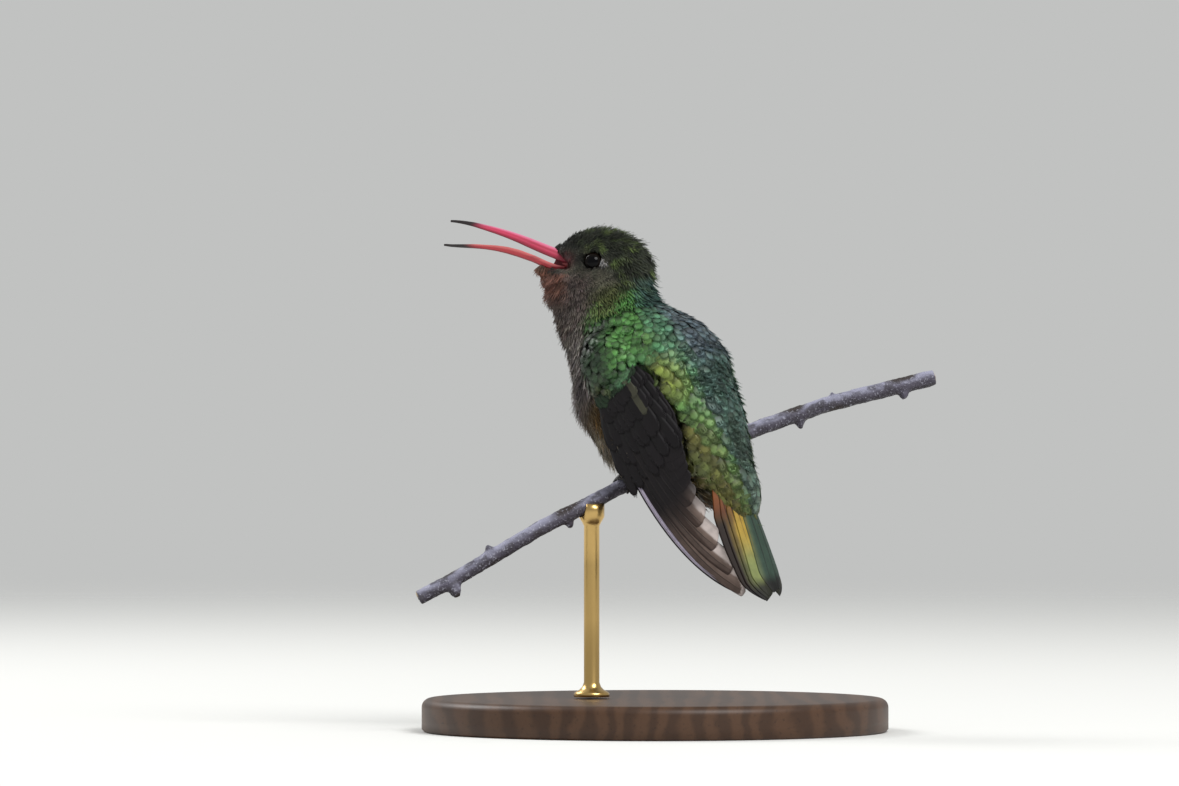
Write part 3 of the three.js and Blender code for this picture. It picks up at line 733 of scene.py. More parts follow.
SKIN = Surface(*make_skin())
OUTER = Surface(*make_outer())
SHIELD = tree_of(*node_arrays(*FANS))
OUTLINE = tree_of(*node_arrays(*FLESH))

# The skin's tint is the plumage's marking halved, partly painted shade in the gaps between the feathers, and
# dark crimson where the bill's root shows.
add_piece(
    "skin", SKIN.points, SKIN.quads, skin_material(), "plumage", replaces=FLESH,
    tint=mix(marking(SKIN.points) * 0.5, MOUTH_IN_SHADE, bare_bill(SKIN.points)),
)

# ---------------------------------------------------------------- the coat: where feathers stand

DARTS = 220000
CELL = 1.0  # of the grid that finds a dart's neighbours


def crowded(grid, cell, p, gap):
    """Whether a dart that was kept lies nearer to p than the gap."""
    near = range(-1, 2) if gap <= CELL else range(-2, 3)
    x, y, z = cell
    limit = gap**2
    return any(
        (p[0] - q[0]) ** 2 + (p[1] - q[1]) ** 2 + (p[2] - q[2]) ** 2 < limit
        for dx in near for dy in near for dz in near for q in grid.get((x + dx, y + dy, z + dz), ())
    )


def scattered(spacing_at):
    """Points on the skin about spacing_at apart: darts that keep their distance. Below 0 it is bare."""
    a, b, c = (SKIN.points[SKIN.triangles[:, k]] for k in range(3))
    area = np.linalg.norm(np.cross(b - a, c - a), axis=1)
    pick = rng.choice(len(area), DARTS, p=area / area.sum())
    r, s = rng.random(DARTS), rng.random(DARTS)
    flip = r + s > 1
    r[flip], s[flip] = 1 - r[flip], 1 - s[flip]
    places = a[pick] + r[:, None] * (b - a)[pick] + s[:, None] * (c - a)[pick]
    grid, kept = {}, []
    cells = [tuple(cell) for cell in np.floor(places / CELL).astype(int).tolist()]
    for i, gap in enumerate(spacing_at(places)):
        if gap > 0 and not crowded(grid, cells[i], places[i], gap):
            grid.setdefault(cells[i], []).append(places[i])
            kept.append(i)
    return places[kept]


# ---------------------------------------------------------------- the coat: how feathers are shaped

# Outlines of one blade from root to tip: share of the length, then share of the half width.
SCALE_OUTLINE = [[0, 0.3], [0.25, 0.72], [0.46, 0.96], [0.64, 0.97], [0.78, 0.76], [0.87, 0.42]]
COVERT_OUTLINE = [[0, 0.4], [0.3, 0.8], [0.6, 1.0], [0.84, 0.95], [0.94, 0.66], [0.99, 0.3]]
LANCE_OUTLINE = [[0, 0.45], [0.3, 1.0], [0.6, 0.9], [0.85, 0.5], [1.0, 0.07]]
HAIR_OUTLINE = [[0, 0.7], [0.35, 1.0], [0.7, 0.7], [1.0, 0.1]]
BARB_OUTLINE = [[0, 1], [0.55, 0.9], [1, 0.2]]
# Each ring's places across and up, in half widths and in thicknesses.
RINGS = {
    6: ([-1, -0.5, 0, 0.5, 1, 0], [0, 0.7, 1, 0.7, 0, -0.5]),
    4: ([-1, 0, 1, 0], [0, 1, 0, -0.6]),
    3: ([-1, 1, 0], [0, 0, -1]),
}


def blade_faces(count, sides):
    fan = np.array([[0, k + 1, k] for k in range(1, sides - 1)])
    return np.concatenate([split_quads(ring_quads(count, sides)), fan, fan[:, ::-1] + (count - 1) * sides])


def blade(outline, sides, local, width=1.0, length=1.0, yaw=0.0, lift=0.0, shift=0.0, ragged=0.0):
    """One closed blade of a feather: rows of [along, across, drift, rise, height], in shares of the
    feather's length and half width, and triangles."""
    across, height = (np.array(x, float) for x in RINGS[sides])
    rows = []
    for t, w in outline:
        wobble = 1 + ragged * local.uniform(-1, 1, sides) * t
        rows.append(np.stack([
            np.full(sides, t * length),
            shift + across * w * width * wobble,
            np.full(sides, math.tan(yaw) * t * length),
            np.full(sides, lift * t * t),
            height * (1 - 0.6 * t),
        ], 1))
    return np.concatenate(rows), blade_faces(len(outline), sides)


def barb(start, end, width, height):
    """A thin point of a vane from start to end, each [along, across]."""
    rows = []
    for t, w in BARB_OUTLINE:
        along, across = (start[k] + (end[k] - start[k]) * t for k in (0, 1))
        for side, share in ((-1, 1), (1, 1), (0, 0.2)):
            rows.append([along, across + side * w * width, 0, 0, height * share])
    return np.array(rows, float), blade_faces(len(BARB_OUTLINE), 3)


def fringed(local, outline, depth):
    """A rounded feather whose rim is split into barbs that start depth from the tip."""
    parts = [blade(outline, 6, local, ragged=0.08)]
    for a in np.linspace(-0.95, 0.95, 13):
        a = a + local.uniform(-0.03, 0.03)
        tip = 1.05 - 0.3 * a * a
        end = [tip + local.uniform(-0.12, 0.08) * depth, a * 1.05]
        parts.append(barb([tip - depth * (1 - 0.35 * a * a), a * (1.05 - depth / 2)], end, 0.085, 0.25))
    return joined(parts)


def tuft(local, yaws, outline, sides, width, lengths, lifts, splay, ragged):
    """Narrow blades side by side, each turned by about its yaw in degrees."""
    return joined([
        blade(outline, sides, local, width, local.uniform(*lengths), math.radians(yaw + local.uniform(-5, 5)),
              local.uniform(*lifts), yaw / splay, ragged)
        for yaw in yaws
    ])


def lances(local):
    return tuft(local, (-21, -11, 0, 11, 21), LANCE_OUTLINE, 4, 0.42, (0.75, 1.0), (-0.02, 0.03), 30, 0.1)


def spikes(local):
    return tuft(local, (-14, 0, 14), LANCE_OUTLINE, 4, 0.5, (0.75, 1.0), (-0.02, 0.06), 30, 0.1)


def down(local):
    yaws = (-22, -15, -8, -2, 4, 10, 17, 24)
    return tuft(local, yaws, HAIR_OUTLINE, 3, 0.13, (0.65, 1.05), (-0.03, 0.08), 34, 0.0)


def templates(shape, count, seed):
    local = np.random.default_rng(seed)
    return [shape(local) for _ in range(count)]


SHAPES = {
    "scale": templates(lambda local: fringed(local, SCALE_OUTLINE, 0.49), 8, 11),
    "covert": templates(lambda local: fringed(local, COVERT_OUTLINE, 0.14), 6, 15),
    "lance": templates(lances, 6, 12),
    "spike": templates(spikes, 6, 13),
    "fluff": templates(down, 6, 14),
}
LINE_STATIONS = 4  # on each feather's middle line
STATIONS = np.linspace(0, 1, LINE_STATIONS)
SUNK = 0.08  # of each root in the skin


def along_weights(t):
    """Cubic weights of the stations at each share of the length."""
    t = np.asarray(t, float)
    weights = np.ones((len(t), LINE_STATIONS))
    for i, own in enumerate(STATIONS):
        for other in np.delete(STATIONS, i):
            weights[:, i] *= (t - other) / (own - other)
    return weights


def shield_above(place, normal):
    """How far above the skin the wing's or tail's own solid starts, or None."""
    below, most = 0.3, 3.5
    hit, _, _, far = SHIELD.ray_cast(place - normal * below, normal, most)
    return None if hit is None else far - below


def station(at, t, height, lift, over):
    """Where a feather's middle line is over a point near the skin, t along its length: a place on the
    skin or the outer surface, the normal there, and how far above it."""
    place, normal = SKIN.nearest(at)
    rise = (height + SUNK) * t**1.1 - SUNK
    if over and t > 0:
        top, top_normal = OUTER.nearest(at)
        proud = 0.12 + 0.12 * t
        if (top - place).dot(normal) + proud > rise:
            place, normal, rise = top, top_normal, proud
    if not over:
        ceiling = shield_above(place, normal)
        if ceiling is not None:
            rise = min(rise + lift, ceiling - 0.3) - lift
    return place, normal, rise + lift


def draped(roots, ways, lengths, heights, lifts, over):
    """Feather middle lines laid along the skin: places and normals at their stations. Those that are
    over lie on the outer surface past their root, and the others stay under wing and tail."""
    places, normals = (np.empty((len(roots), LINE_STATIONS, 3)) for _ in range(2))
    for i, length in enumerate(lengths):
        at, way = Vector(roots[i]), Vector(ways[i])
        for k, t in enumerate(STATIONS):
            place, normal, height = station(at, t, heights[i], lifts[i] * length * t * t, over[i])
            places[i, k], normals[i, k] = place + normal * height, normal
            way = (way - normal * way.dot(normal)).normalized()
            at = place + way * (length / (LINE_STATIONS - 1))
    return places, normals


def feathers(places, normals, widths, shape, thickness, cup, choice):
    """The points and triangles of many feathers of one shape, with each point's share of the length and
    of the half width, its place on the barbs in millimetres, and the number of the feather it is on."""
    parts = {key: [] for key in ("points", "faces", "along", "across", "barb", "owner")}
    start = 0
    lengths = np.linalg.norm(np.diff(places, axis=1), axis=2).sum(1)
    for k, (table, faces) in enumerate(SHAPES[shape]):
        own = np.nonzero(choice == k)[0]
        along, across, drift, rise, height = table.T
        weights = along_weights(along)
        ahead = along_weights(along + 0.02) - along_weights(along - 0.02)
        centre, normal = (np.einsum("vs,fsc->fvc", weights, x[own]) for x in (places, normals))
        way = unit(np.einsum("vs,fsc->fvc", ahead, places[own]))
        side = unit(np.cross(normal, way))
        normal = np.cross(way, side)
        width, length = widths[own, None], lengths[own, None]
        sideways = across * width + drift * length
        upward = height * thickness + rise * length - cup * across**2 * width
        points = centre + sideways[..., None] * side + upward[..., None] * normal
        firsts = start + len(table) * np.arange(len(own))
        parts["points"].append(points.reshape(-1, 3))
        parts["faces"].append((faces + firsts[:, None, None]).reshape(-1, 3))
        parts["along"].append(np.tile(along, len(own)))
        parts["across"].append(np.tile(np.clip(across, -1, 1), len(own)))
        parts["barb"].append((along * length - 0.6 * np.abs(across) * width).ravel())
        parts["owner"].append(np.repeat(own, len(table)))
        start += len(table) * len(own)
    return {key: np.concatenate(value) for key, value in parts.items()}


PATCH = 0.003  # of each feather on the map, across
MAP_EDGE = 0.01
MOST_TRIANGLES = 190000


def bake_places(roots, parts):
    """A patch for each feather, at its root's place on the skin unrolled about the middle line."""
    reach, angle, side, _ = body_place(roots)
    size = 1 - 2 * MAP_EDGE
    home = np.stack([0.5 + side * angle / 360 * size, MAP_EDGE + size * reach / SPINE_REACH[-1]], 1)
    patch = np.stack([parts["across"] / 2, np.clip(parts["along"], 0, 1) - 0.5], 1)
    return np.clip(home[parts["owner"]] + PATCH * patch, 0, 1)


def add_coat(name, roots, parts, tints, lucks, material, slot="plumage"):
    """The feathers as one or more pieces, each under the limit on triangles."""
    owner = parts["owner"]
    bake = bake_places(roots, parts)
    pieces = 1 + len(parts["faces"]) // MOST_TRIANGLES
    order = np.argsort(np.argsort(roots[:, 2], kind="stable"), kind="stable")
    group = (order * pieces // len(roots))[owner]
    for g in range(pieces):
        own = np.nonzero(group == g)[0]
        back = np.full(len(owner), -1)
        back[own] = np.arange(len(own))
        faces = back[parts["faces"][group[parts["faces"][:, 0]] == g]]
        values = {key: parts[key][own] for key in ("along", "across", "barb")}
        values["luck"] = lucks[owner[own]]
        add_piece(
            f"{name}_{g + 1}" if pieces > 1 else name, parts["points"][own], faces, material, slot,
            tint=tints[owner[own]], bake=bake[own], values=values,
        )


# ---------------------------------------------------------------- the coat: sizes by region

REACHES = [0, 3, 7, 12, 17, 23, 32, 44, 54, 62, 72]
UPPER_SIZES = {  # along the middle line: length, half width and spacing of the feathers above
    "length": [1.1, 1.5, 2.3, 2.6, 2.8, 3.2, 3.6, 3.9, 4.4, 5.8, 6.2],
    "width": [0.18, 0.24, 0.34, 0.44, 0.55, 0.82, 1.0, 1.08, 1.15, 1.2, 1.2],
    "spacing": [0.3, 0.34, 0.45, 0.52, 0.62, 0.82, 0.96, 1.02, 1.08, 1.2, 1.25],
}
LOWER_SIZES = {  # and below
    "length": [1.1, 1.4, 1.6, 1.9, 2.2, 2.8, 3.6, 4.6, 5.2, 5.6, 5.6],
    "width": [0.2, 0.24, 0.28, 0.34, 0.4, 0.55, 0.8, 1.1, 1.2, 1.2, 1.2],
    "spacing": [0.34, 0.38, 0.42, 0.46, 0.5, 0.6, 0.72, 0.88, 1.0, 1.1, 1.1],
}
ARM_SIZES = {"length": 2.9, "width": 0.82, "spacing": 0.82}
SMALLER_BY_EYE = {"length": 0.42, "width": 0.42, "spacing": 0.3}
# Changes to the feathers' height that give the outline its swells and dips: how much, where, how wide.
FRONT_SWELLS = [(0.8, 27.5, 2.5), (-1.4, 32.5, 2), (0.9, 37.5, 2.5), (-0.6, 8.5, 1.5)]
BACK_SWELLS = [(0.5, 34, 3), (0.5, 42, 4), (0.5, 54, 4), (-0.7, 23.5, 2.5)]
CROWN_SWELLS = [(0.25, 8, 4)]
CHIN_WAY = np.array([0.2, 0.05, -1.0])
GAPE_HEIGHT = 84.6
HIDDEN_LEFT_OUT = 0.7  # the share of the feathers under the wing that aren't made
MOST_ROOM = 3.0
PALE_SHARE = 0.24  # of the feathers below


def wing_zone(points):
    """1 where a feather belongs to the wing's small coverts."""
    u, v = wing_place(points)
    angle = body_place(points)[1]
    inside = step(-10.5, -9.5, u) * step(2.0, 1.0, u) * step(-3.2, -2.2, v) * step(10.8, 9.8, v)
    return inside * step(55, 70, angle) * step(135, 120, angle)


def feather_sizes(points):
    """Length, half width and spacing of the feathers rooted at each point."""
    reach, angle, _, _ = body_place(points)
    below, arm = step(88, 118, angle), wing_zone(points)
    face = step(9.5, 4.0, eye_place(points)[0]) * step(17, 13, reach)
    sizes = {}
    for key, smaller in SMALLER_BY_EYE.items():
        upper, lower = (np.interp(reach, REACHES, rows[key]) for rows in (UPPER_SIZES, LOWER_SIZES))
        size = (upper + (lower - upper) * below) * (1 - smaller * face)
        sizes[key] = size + (ARM_SIZES[key] - size) * arm
    return sizes


def spacing(points):
    from_eye, ahead, _ = eye_place(points)
    by_eye = (from_eye < 1.25 + 0.15 * step(-0.5, 1.0, ahead)) & (body_place(points)[0] < 15)
    return np.where(by_eye | (bare_bill(points) > 0.5), -1, feather_sizes(points)["spacing"])


def feather_ways(roots, normals):
    """Which way the feathers lie: along the body, and round the eyes, with a little disorder."""
    reach, angle, _, lie = body_place(roots)
    offset = from_eye_axis(roots, middle("head"))
    far = np.linalg.norm(offset, axis=1)[:, None]
    outward = offset / np.maximum(far, 0.1)
    flow = np.clip(1.7 / np.maximum(far, 1.2), 0, 1) ** 2 * step(15, 12, reach)[:, None]
    ways = lie - flow * (2 * (lie * outward).sum(1)[:, None] * outward - lie) * 0.9
    _, ahead, above = eye_place(roots)
    chin = step(1.5, 4.0, ahead) * step(-1.0, -2.4, above) * step(-13, -8, above)
    ways = mix(ways, CHIN_WAY, chin)
    ways = unit(ways - (ways * normals).sum(1)[:, None] * normals)
    degrees = np.interp(reach, [0, 6, 14, 24, 34], [8, 13, 13, 8, 6]) + 6 * step(110, 140, angle)
    turn = rng.normal(0, 1, len(roots)) * np.radians(degrees)
    return unit(ways + np.cross(normals, ways) * np.tan(np.clip(turn, -0.6, 0.6))[:, None])


def room_above(roots, normals):
    """How far the outline of the flesh nodes lies above each root."""
    room = coat_depth(roots)
    for i in range(len(roots)):
        hit, _, _, far = OUTLINE.ray_cast(Vector(roots[i]), Vector(normals[i]), MOST_ROOM)
        if hit is not None and far > 0.05:
            room[i] = far
    return np.clip(room, 0.15, 2.6)


def feather_kinds(roots, luck):
    reach, angle, _, _ = body_place(roots)
    below = step(104, 126, angle)
    kind = np.full(len(roots), "scale", dtype=object)
    kind[reach < 20] = "lance"
    kind[(reach < 17.5) & (reach > 2.0) & (angle < 66)] = "spike"
    kind[(reach < 25) & (below > 0.5)] = "spike"
    kind[(reach >= 25) & (reach < 55) & (below > luck)] = "fluff"
    kind[wing_zone(roots) > 0.5] = "scale"
    return kind


def coat_roots():
    """Places and normals of the roots, the room above each, and whether wing or tail lies over it. Few
    stand under the wing, and none where they would point out of the gape or out under the tail."""
    roots, normals = SKIN.all_nearest(scattered(spacing))
    room = room_above(roots, normals)
    shaded = np.array([shield_above(Vector(p), Vector(n)) is not None for p, n in zip(roots, normals)])
    reach, _, _, lie = body_place(roots)
    hidden = shaded & (wing_place(roots)[0] > 5) & (rng.random(len(roots)) < HIDDEN_LEFT_OUT)
    gape = (normals[:, 0] < -0.55) & (np.abs(roots[:, 2] - GAPE_HEIGHT) < 1.1) & (roots[:, 0] < -15.6)
    end = ((normals * lie).sum(1) > 0.6) & (reach > 58)
    keep = ~(hidden | gape | end)
    return (x[keep] for x in (roots, normals, room, shaded))


def tip_lifts(roots, chin, stray):
    """How far the feathers' tips stand out, as a share of their length."""
    reach, angle, _, _ = body_place(roots)
    lifts = 0.03 + 0.22 * stray * step(20, 14, reach) + 0.1 * stray * step(56, 48, reach)
    lifts = lifts + (0.1 + 0.22 * stray) * step(1.5, 2.5, reach) * step(120, 150, angle) * step(22, 14, reach)
    lifts = lifts + 0.16 * stray * bump(reach, 12, 4) * step(70, 45, angle)
    return np.minimum(lifts + 0.16 * chin * rng.uniform(0.3, 1.0, len(roots)), 0.42)


def tip_heights(roots, room, chin):
    """How high the feathers' tips lie above the skin."""
    reach, angle, _, _ = body_place(roots)
    heights = room * rng.uniform(0.8, 1.02, len(roots)) + 0.5 * chin
    for swells, low, high in ((FRONT_SWELLS, 120, 150), (BACK_SWELLS, 50, 25), (CROWN_SWELLS, 60, 30)):
        swell = sum(much * bump(reach, where, width) for much, where, width in swells)
        heights = heights + swell * step(low, high, angle)
    return heights


def beside_gape(roots, normals):
    """1 where feathers lie flat and short, on the ledge under the gape, and nearly so at its sides."""
    x, _, z = roots.T
    ledge = step(0.1, 0.4, normals[:, 2]) * step(-14.6, -15.2, x) * step(82.2, 82.7, z) * step(84.8, 84.3, z)
    return np.maximum(ledge, 0.9 * step(-14.0, -15.0, x) * step(83.0, 84.0, z) * step(88, 87, z))


def laid(roots, normals, room, lengths, stray):
    """Lengths, lifts and heights of the feathers, with those by the gape and the eyes laid down."""
    reach = body_place(roots)[0]
    from_eye, ahead, above = eye_place(roots)
    chin = step(2.5, 4.5, ahead) * step(-0.6, -1.6, above) * step(-7.0, -5.0, above)
    flat = beside_gape(roots, normals)
    lengths = lengths * (1 + 0.5 * chin) * (1 - 0.45 * flat)
    lifts = tip_lifts(roots, chin, stray) * (1 - flat)
    heights = np.maximum(tip_heights(roots, room, chin) * (1 - flat), 0.12 + 0.18 * (1 - flat))
    by_eye = step(3.6, 2.6, from_eye) * step(15, 12, reach)
    heights = np.where(by_eye > 0.5, np.minimum(heights, 0.45), heights)
    return lengths, lifts * (1 - 0.85 * by_eye), heights


def coat_tints(roots, places, kind):
    """A colour a feather: the plumage's marking under its outer part, with a few pale ones below."""
    count = len(roots)
    reach, angle, _, _ = body_place(roots)
    tints = marking(places[:, 1:].mean(1))
    tints = tints * rng.uniform(0.86, 1.14, (count, 1)) * rng.uniform(0.95, 1.05, (count, 3))
    pale = (rng.random(count) < PALE_SHARE) & (step(104, 126, angle) > 0.4) & (reach > 12) & (kind != "scale")
    tints[pale] = mix(tints[pale], FLUFF, rng.uniform(0.08, 0.34, pale.sum()))
    return tints


def make_coat():
    roots, normals, room, shaded = coat_roots()
    count = len(roots)
    reach, angle, _, _ = body_place(roots)
    sizes = feather_sizes(roots)
    lengths = sizes["length"] * rng.uniform(0.88, 1.12, count)
    widths = sizes["width"] * rng.uniform(0.9, 1.1, count)
    ways = feather_ways(roots, normals)
    luck = rng.random(count)
    kind = feather_kinds(roots, luck)
    luck = np.clip(luck + 0.45 * noise(roots, 1.5, 8) * step(24, 16, reach), 0, 1)
    lengths, lifts, heights = laid(roots, normals, room, lengths, rng.random(count) ** 3)
    over = ~shaded & ((angle < 108) | (reach > 56)) & (kind != "fluff") & (reach > 20)
    places, lies = draped(roots, ways, lengths, heights, lifts, over)
    tints = coat_tints(roots, places, kind)
    sheen = feather_material("body_vane", 0.48, 0.12, 0.07, 0.8, 0.25, 0.5, 0.2)
    dull = feather_material("soft_vane", 0.75, 0.15, 0.03, 0.4)
    for label, shape, thickness, cup, material in (
        ("contour", "scale", 0.07, 0.10, sheen),
        ("face", "lance", 0.06, 0.06, dull),
        ("crown", "spike", 0.06, 0.04, dull),
        ("belly", "fluff", 0.06, 0.0, dull),
    ):
        own = np.nonzero(kind == shape)[0]
        choice = rng.integers(0, len(SHAPES[shape]), len(own))
        parts = feathers(places[own], lies[own], widths[own], shape, thickness, cup, choice)
        add_coat(f"{label}_feathers", roots[own], parts, tints[own], luck[own], material)


make_coat()

# ---------------------------------------------------------------- flight feathers

WING_VANE = (120, 19, 0.07, 0.02)  # rows and columns of points, thickness and droop


def bezier(shaft, t):
    a, b, c = (np.array(x, float) for x in shaft)
    t = np.asarray(t)[:, None]
    return (1 - t) ** 2 * a + 2 * t * (1 - t) * b + t**2 * c


def flight_shaft(k):
    """Root, bend and tip of a flight feather's shaft in the blade's u and v, outermost primary first."""
    if k < PRIMARIES:
        tip = PRIMARY_REACH[k]
        return [[0.2, 0.2 + 0.6 * k], [tip * 0.7, -9.3 + 2.6 * k - 0.09 * k * k], [tip, 0.1 + 0.5 * k]]
    j = (k - PRIMARIES) * 0.4
    return [[0.2, 0.2 + 0.6 * (PRIMARIES + j)], [8, 6 + 0.8 * j], [18 - 1.6 * j, 6.3 + 0.5 * j]]


def flight_width(k):
    """Widths of a wing feather's outer and inner vane."""
    return (0.75, 2.2) if k == 0 else (1.15, 2.9) if k < 3 else (1.3, 3.0)


def vane_width(t, starts, power):
    """The share of a vane's full width at each share of its length: narrow at the root, then full, then
    cut off slantwise from starts to the tip."""
    cut = np.clip((t - starts) / (1 - starts), 0, 1)
    return np.clip(1 - cut**power, 0.01, 1) * (0.5 + 0.5 * np.minimum(4 * t, 1))


class Vane:
    """A flight feather as a thin closed vane in the flat of its wing or tail."""

    def __init__(self, shaft, widths, slants=((0.9, 2.8), (1.15, 2.8))):
        """widths are those of the outer and inner vane. A slant is how long the cut at a vane's end is, in
        its widths, and how full it is."""
        self.shaft, self.widths = shaft, widths
        line = bezier(shaft, np.linspace(0, 1, 30))
        self.length = np.linalg.norm(np.diff(line, axis=0), axis=1).sum()
        self.ends = [(1 - slope * w / self.length, power) for (slope, power), w in zip(slants, widths)]

    def lines(self, t):
        """Middle, direction, and the reach of the outer and inner vane at each share of the length."""
        centre = bezier(self.shaft, t)
        way = unit(bezier(self.shaft, t + 0.01) - centre)
        return centre, way, *(w * vane_width(t, *end) for w, end in zip(self.widths, self.ends))

    def covers(self, u, v):
        """1 where the feather lies over a place of the blade, falling to 0 past its edge."""
        centre, way, outer, inner = self.lines(np.linspace(0, 1, 160))
        near = np.argmin((u[:, None] - centre[:, 0]) ** 2 + (v[:, None] - centre[:, 1]) ** 2, 1)
        du, dv = u - centre[near, 0], v - centre[near, 1]
        along = du * way[near, 0] + dv * way[near, 1]
        aside = -du * way[near, 1] + dv * way[near, 0]
        across = step(-0.14, 0.14, aside + outer[near]) * step(-0.14, 0.14, inner[near] - aside)
        return across * step(0.4, 0.1, along)

    def ruffles(self, count, local):
        """How far the edges of the outer and inner vane wander, with one small nick in the inner one."""
        wander = 0.012 * local.normal(size=(count, 2)).cumsum(0)
        ruffle = 1 + wander / np.sqrt(np.arange(1, count + 1))[:, None]
        at = local.integers(int(count * 0.45), int(count * 0.8))
        ruffle[at : at + 3, 1] -= local.uniform(0.02, 0.05) * np.array([0.5, 1, 0.3])
        return ruffle

    def mesh(self, lift, place, count, columns, thickness, droop, local):
        """Points, triangles, and a table of [u, v, share of the length, across, barb, shaft]."""
        t = 1 - (1 - np.linspace(0, 1, count)) ** 1.35
        centre, way, outer, inner = self.lines(t)
        x = np.linspace(-1, 1, columns)
        x = np.sign(x) * np.abs(x) ** 0.85
        ruffle = self.ruffles(count, local)
        reach = x * np.where(x < 0, (outer * ruffle[:, 0])[:, None], (inner * ruffle[:, 1])[:, None])
        half = thickness / 2 * (0.2 + 0.8 * (1 - np.abs(x)) ** 0.6)
        sag = -droop * x * x * np.where(x > 0, self.widths[1], self.widths[0])
        rings, table = [], []
        for face, cols in ((1, np.arange(columns)), (-1, np.arange(columns - 2, 0, -1))):
            u = centre[:, :1] - way[:, 1:] * reach[:, cols]
            v = centre[:, 1:] + way[:, :1] * reach[:, cols]
            rings.append(place(u, v, np.broadcast_to(lift + face * half[cols] + sag[cols], u.shape)))
            share, across = np.broadcast_arrays(t[:, None], x[cols])
            barb = share * self.length - 1.1 * np.abs(reach[:, cols])
            table.append(np.stack([u, v, share, across, barb, 0 * u], 2))
        rows = np.concatenate(table, 1)
        rows = np.concatenate([rows.reshape(-1, 6), rows[:1].mean(1), rows[-1:].mean(1)])
        rod, line = self.rod(lift, place, t[t < 0.985])
        return (*joined([loft(np.concatenate(rings, 1)), rod]), np.concatenate([rows, line]))

    def rod(self, lift, place, t):
        """The raised shaft, and its rows of the table."""
        sides = 6
        centre = bezier(self.shaft, t)
        path = place(centre[:, 0], centre[:, 1], np.full(len(t), lift + 0.02))
        line = np.stack([centre[:, 0], centre[:, 1], t, 0 * t, 0 * t, 0 * t + 1], 1)
        line = np.concatenate([np.repeat(line, sides, axis=0), line[:1], line[-1:]])
        return tube(path, np.interp(t, [0, 0.6, 1], [0.14, 0.10, 0.035]), sides), line


PURPLE_BLACK = colour(20, 16, 19)
QUILL = colour(22, 16, 15)
# Tones of painted light shining through one to four layers of vane.
FOUR_VANES_LIT_THROUGH = colour(46, 36, 35)
THREE_VANES_LIT_THROUGH = colour(78, 62, 55)
TWO_VANES_LIT_THROUGH = colour(130, 113, 105)
ONE_VANE_LIT_THROUGH = colour(198, 186, 182)
LAVENDER = colour(162, 154, 172)
BLACK_EDGE = colour(10, 8, 10)


def wing_tint(rows, k, vanes):
    """The colour of a wing feather: painted light shining through the vanes, darker where vanes lie over each
    other and pale where one is alone.
    """
    u, v, share, across, _, shaft = rows.T
    layers = sum(vane.covers(u, v) for vane in vanes)
    # Painted light shining through: the more vanes lie over a place, the darker it is.
    c = mix(ONE_VANE_LIT_THROUGH, TWO_VANES_LIT_THROUGH, step(1.1, 1.9, layers))
    c = mix(c, THREE_VANES_LIT_THROUGH, step(2.1, 2.9, layers))
    c = mix(c, FOUR_VANES_LIT_THROUGH, step(3.1, 3.9, layers))
    c = mix(c, THREE_VANES_LIT_THROUGH, 0.45 * step(0.42, 0.12, across) * step(1.2, 2.0, layers))
    c = mix(c, FOUR_VANES_LIT_THROUGH, 0.4 * step(0.1, -0.15, across) * step(1.2, 2.0, layers))
    c = mix(c, PURPLE_BLACK, 0.6 * bump(np.abs(across), 1.0, 0.12) * step(20, 30, u))
    c = mix(c, FOUR_VANES_LIT_THROUGH, 0.5 * step(0.975, 0.998, share))
    c = mix(c, PURPLE_BLACK, step(31.5, 23, u))
    c = mix(c, QUILL, 0.8 * shaft)
    if k == 0:
        band = step(-0.62, -0.5, across) * step(0.34, 0.24, across)
        c = mix(c, LAVENDER, np.maximum(shaft, band) * step(12, 20, u))
        c = mix(c, BLACK_EDGE, bump(across, 0.42, 0.08) * step(12, 20, u))
        c = mix(c, BLACK_EDGE, step(-0.5, -0.65, across))
    return c * (1 + 0.08 * noise(rows[:, :3] * [1, 1, 10], 3.5, k))[:, None]


def feather_set(name, meshes, tints, material, slot, node):
    """Long feathers as one piece, each with a strip of its own on the map."""
    points, faces = joined([(p, f) for p, f, _ in meshes])
    strips = [
        np.stack([(i + 0.5 + 0.45 * rows[:, 3]) / len(meshes), MAP_EDGE + (1 - 2 * MAP_EDGE) * rows[:, 2]], 1)
        for i, (_, _, rows) in enumerate(meshes)
    ]
    rows = np.concatenate([r for _, _, r in meshes])
    add_piece(
        name, points, faces, material, slot, tint=np.concatenate(tints), bake=np.concatenate(strips),
        values={"barb": rows[:, 4], "shaft": rows[:, 5]}, replaces=[node],
    )


def make_wing(name, side, material):
    local = np.random.default_rng(21)
    vanes = [Vane(flight_shaft(k), flight_width(k)) for k in range(PRIMARIES + SECONDARIES)]
    meshes, tints = [], []
    for k, vane in enumerate(vanes):
        lift = WING["layer"] * (min(k, 9) + 0.5 * max(k - 9, 0)) - 0.1
        mesh = vane.mesh(lift, lambda u, v, w: wing_point(u, v, w, side), *WING_VANE, local)
        meshes.append(mesh)
        tints.append(wing_tint(mesh[2], k, vanes))
    node = f"wing_feathers_{name}"
    feather_set(f"flight_feathers_{name}", meshes, tints, material, "flight_feathers", node)


wing_material = flight_material("wing_vane", 0.0, 0.62, 0.05, 0.22)
for name, side in SIDES.items():
    make_wing(name, side, wing_material)

# ---------------------------------------------------------------- coverts on the wing

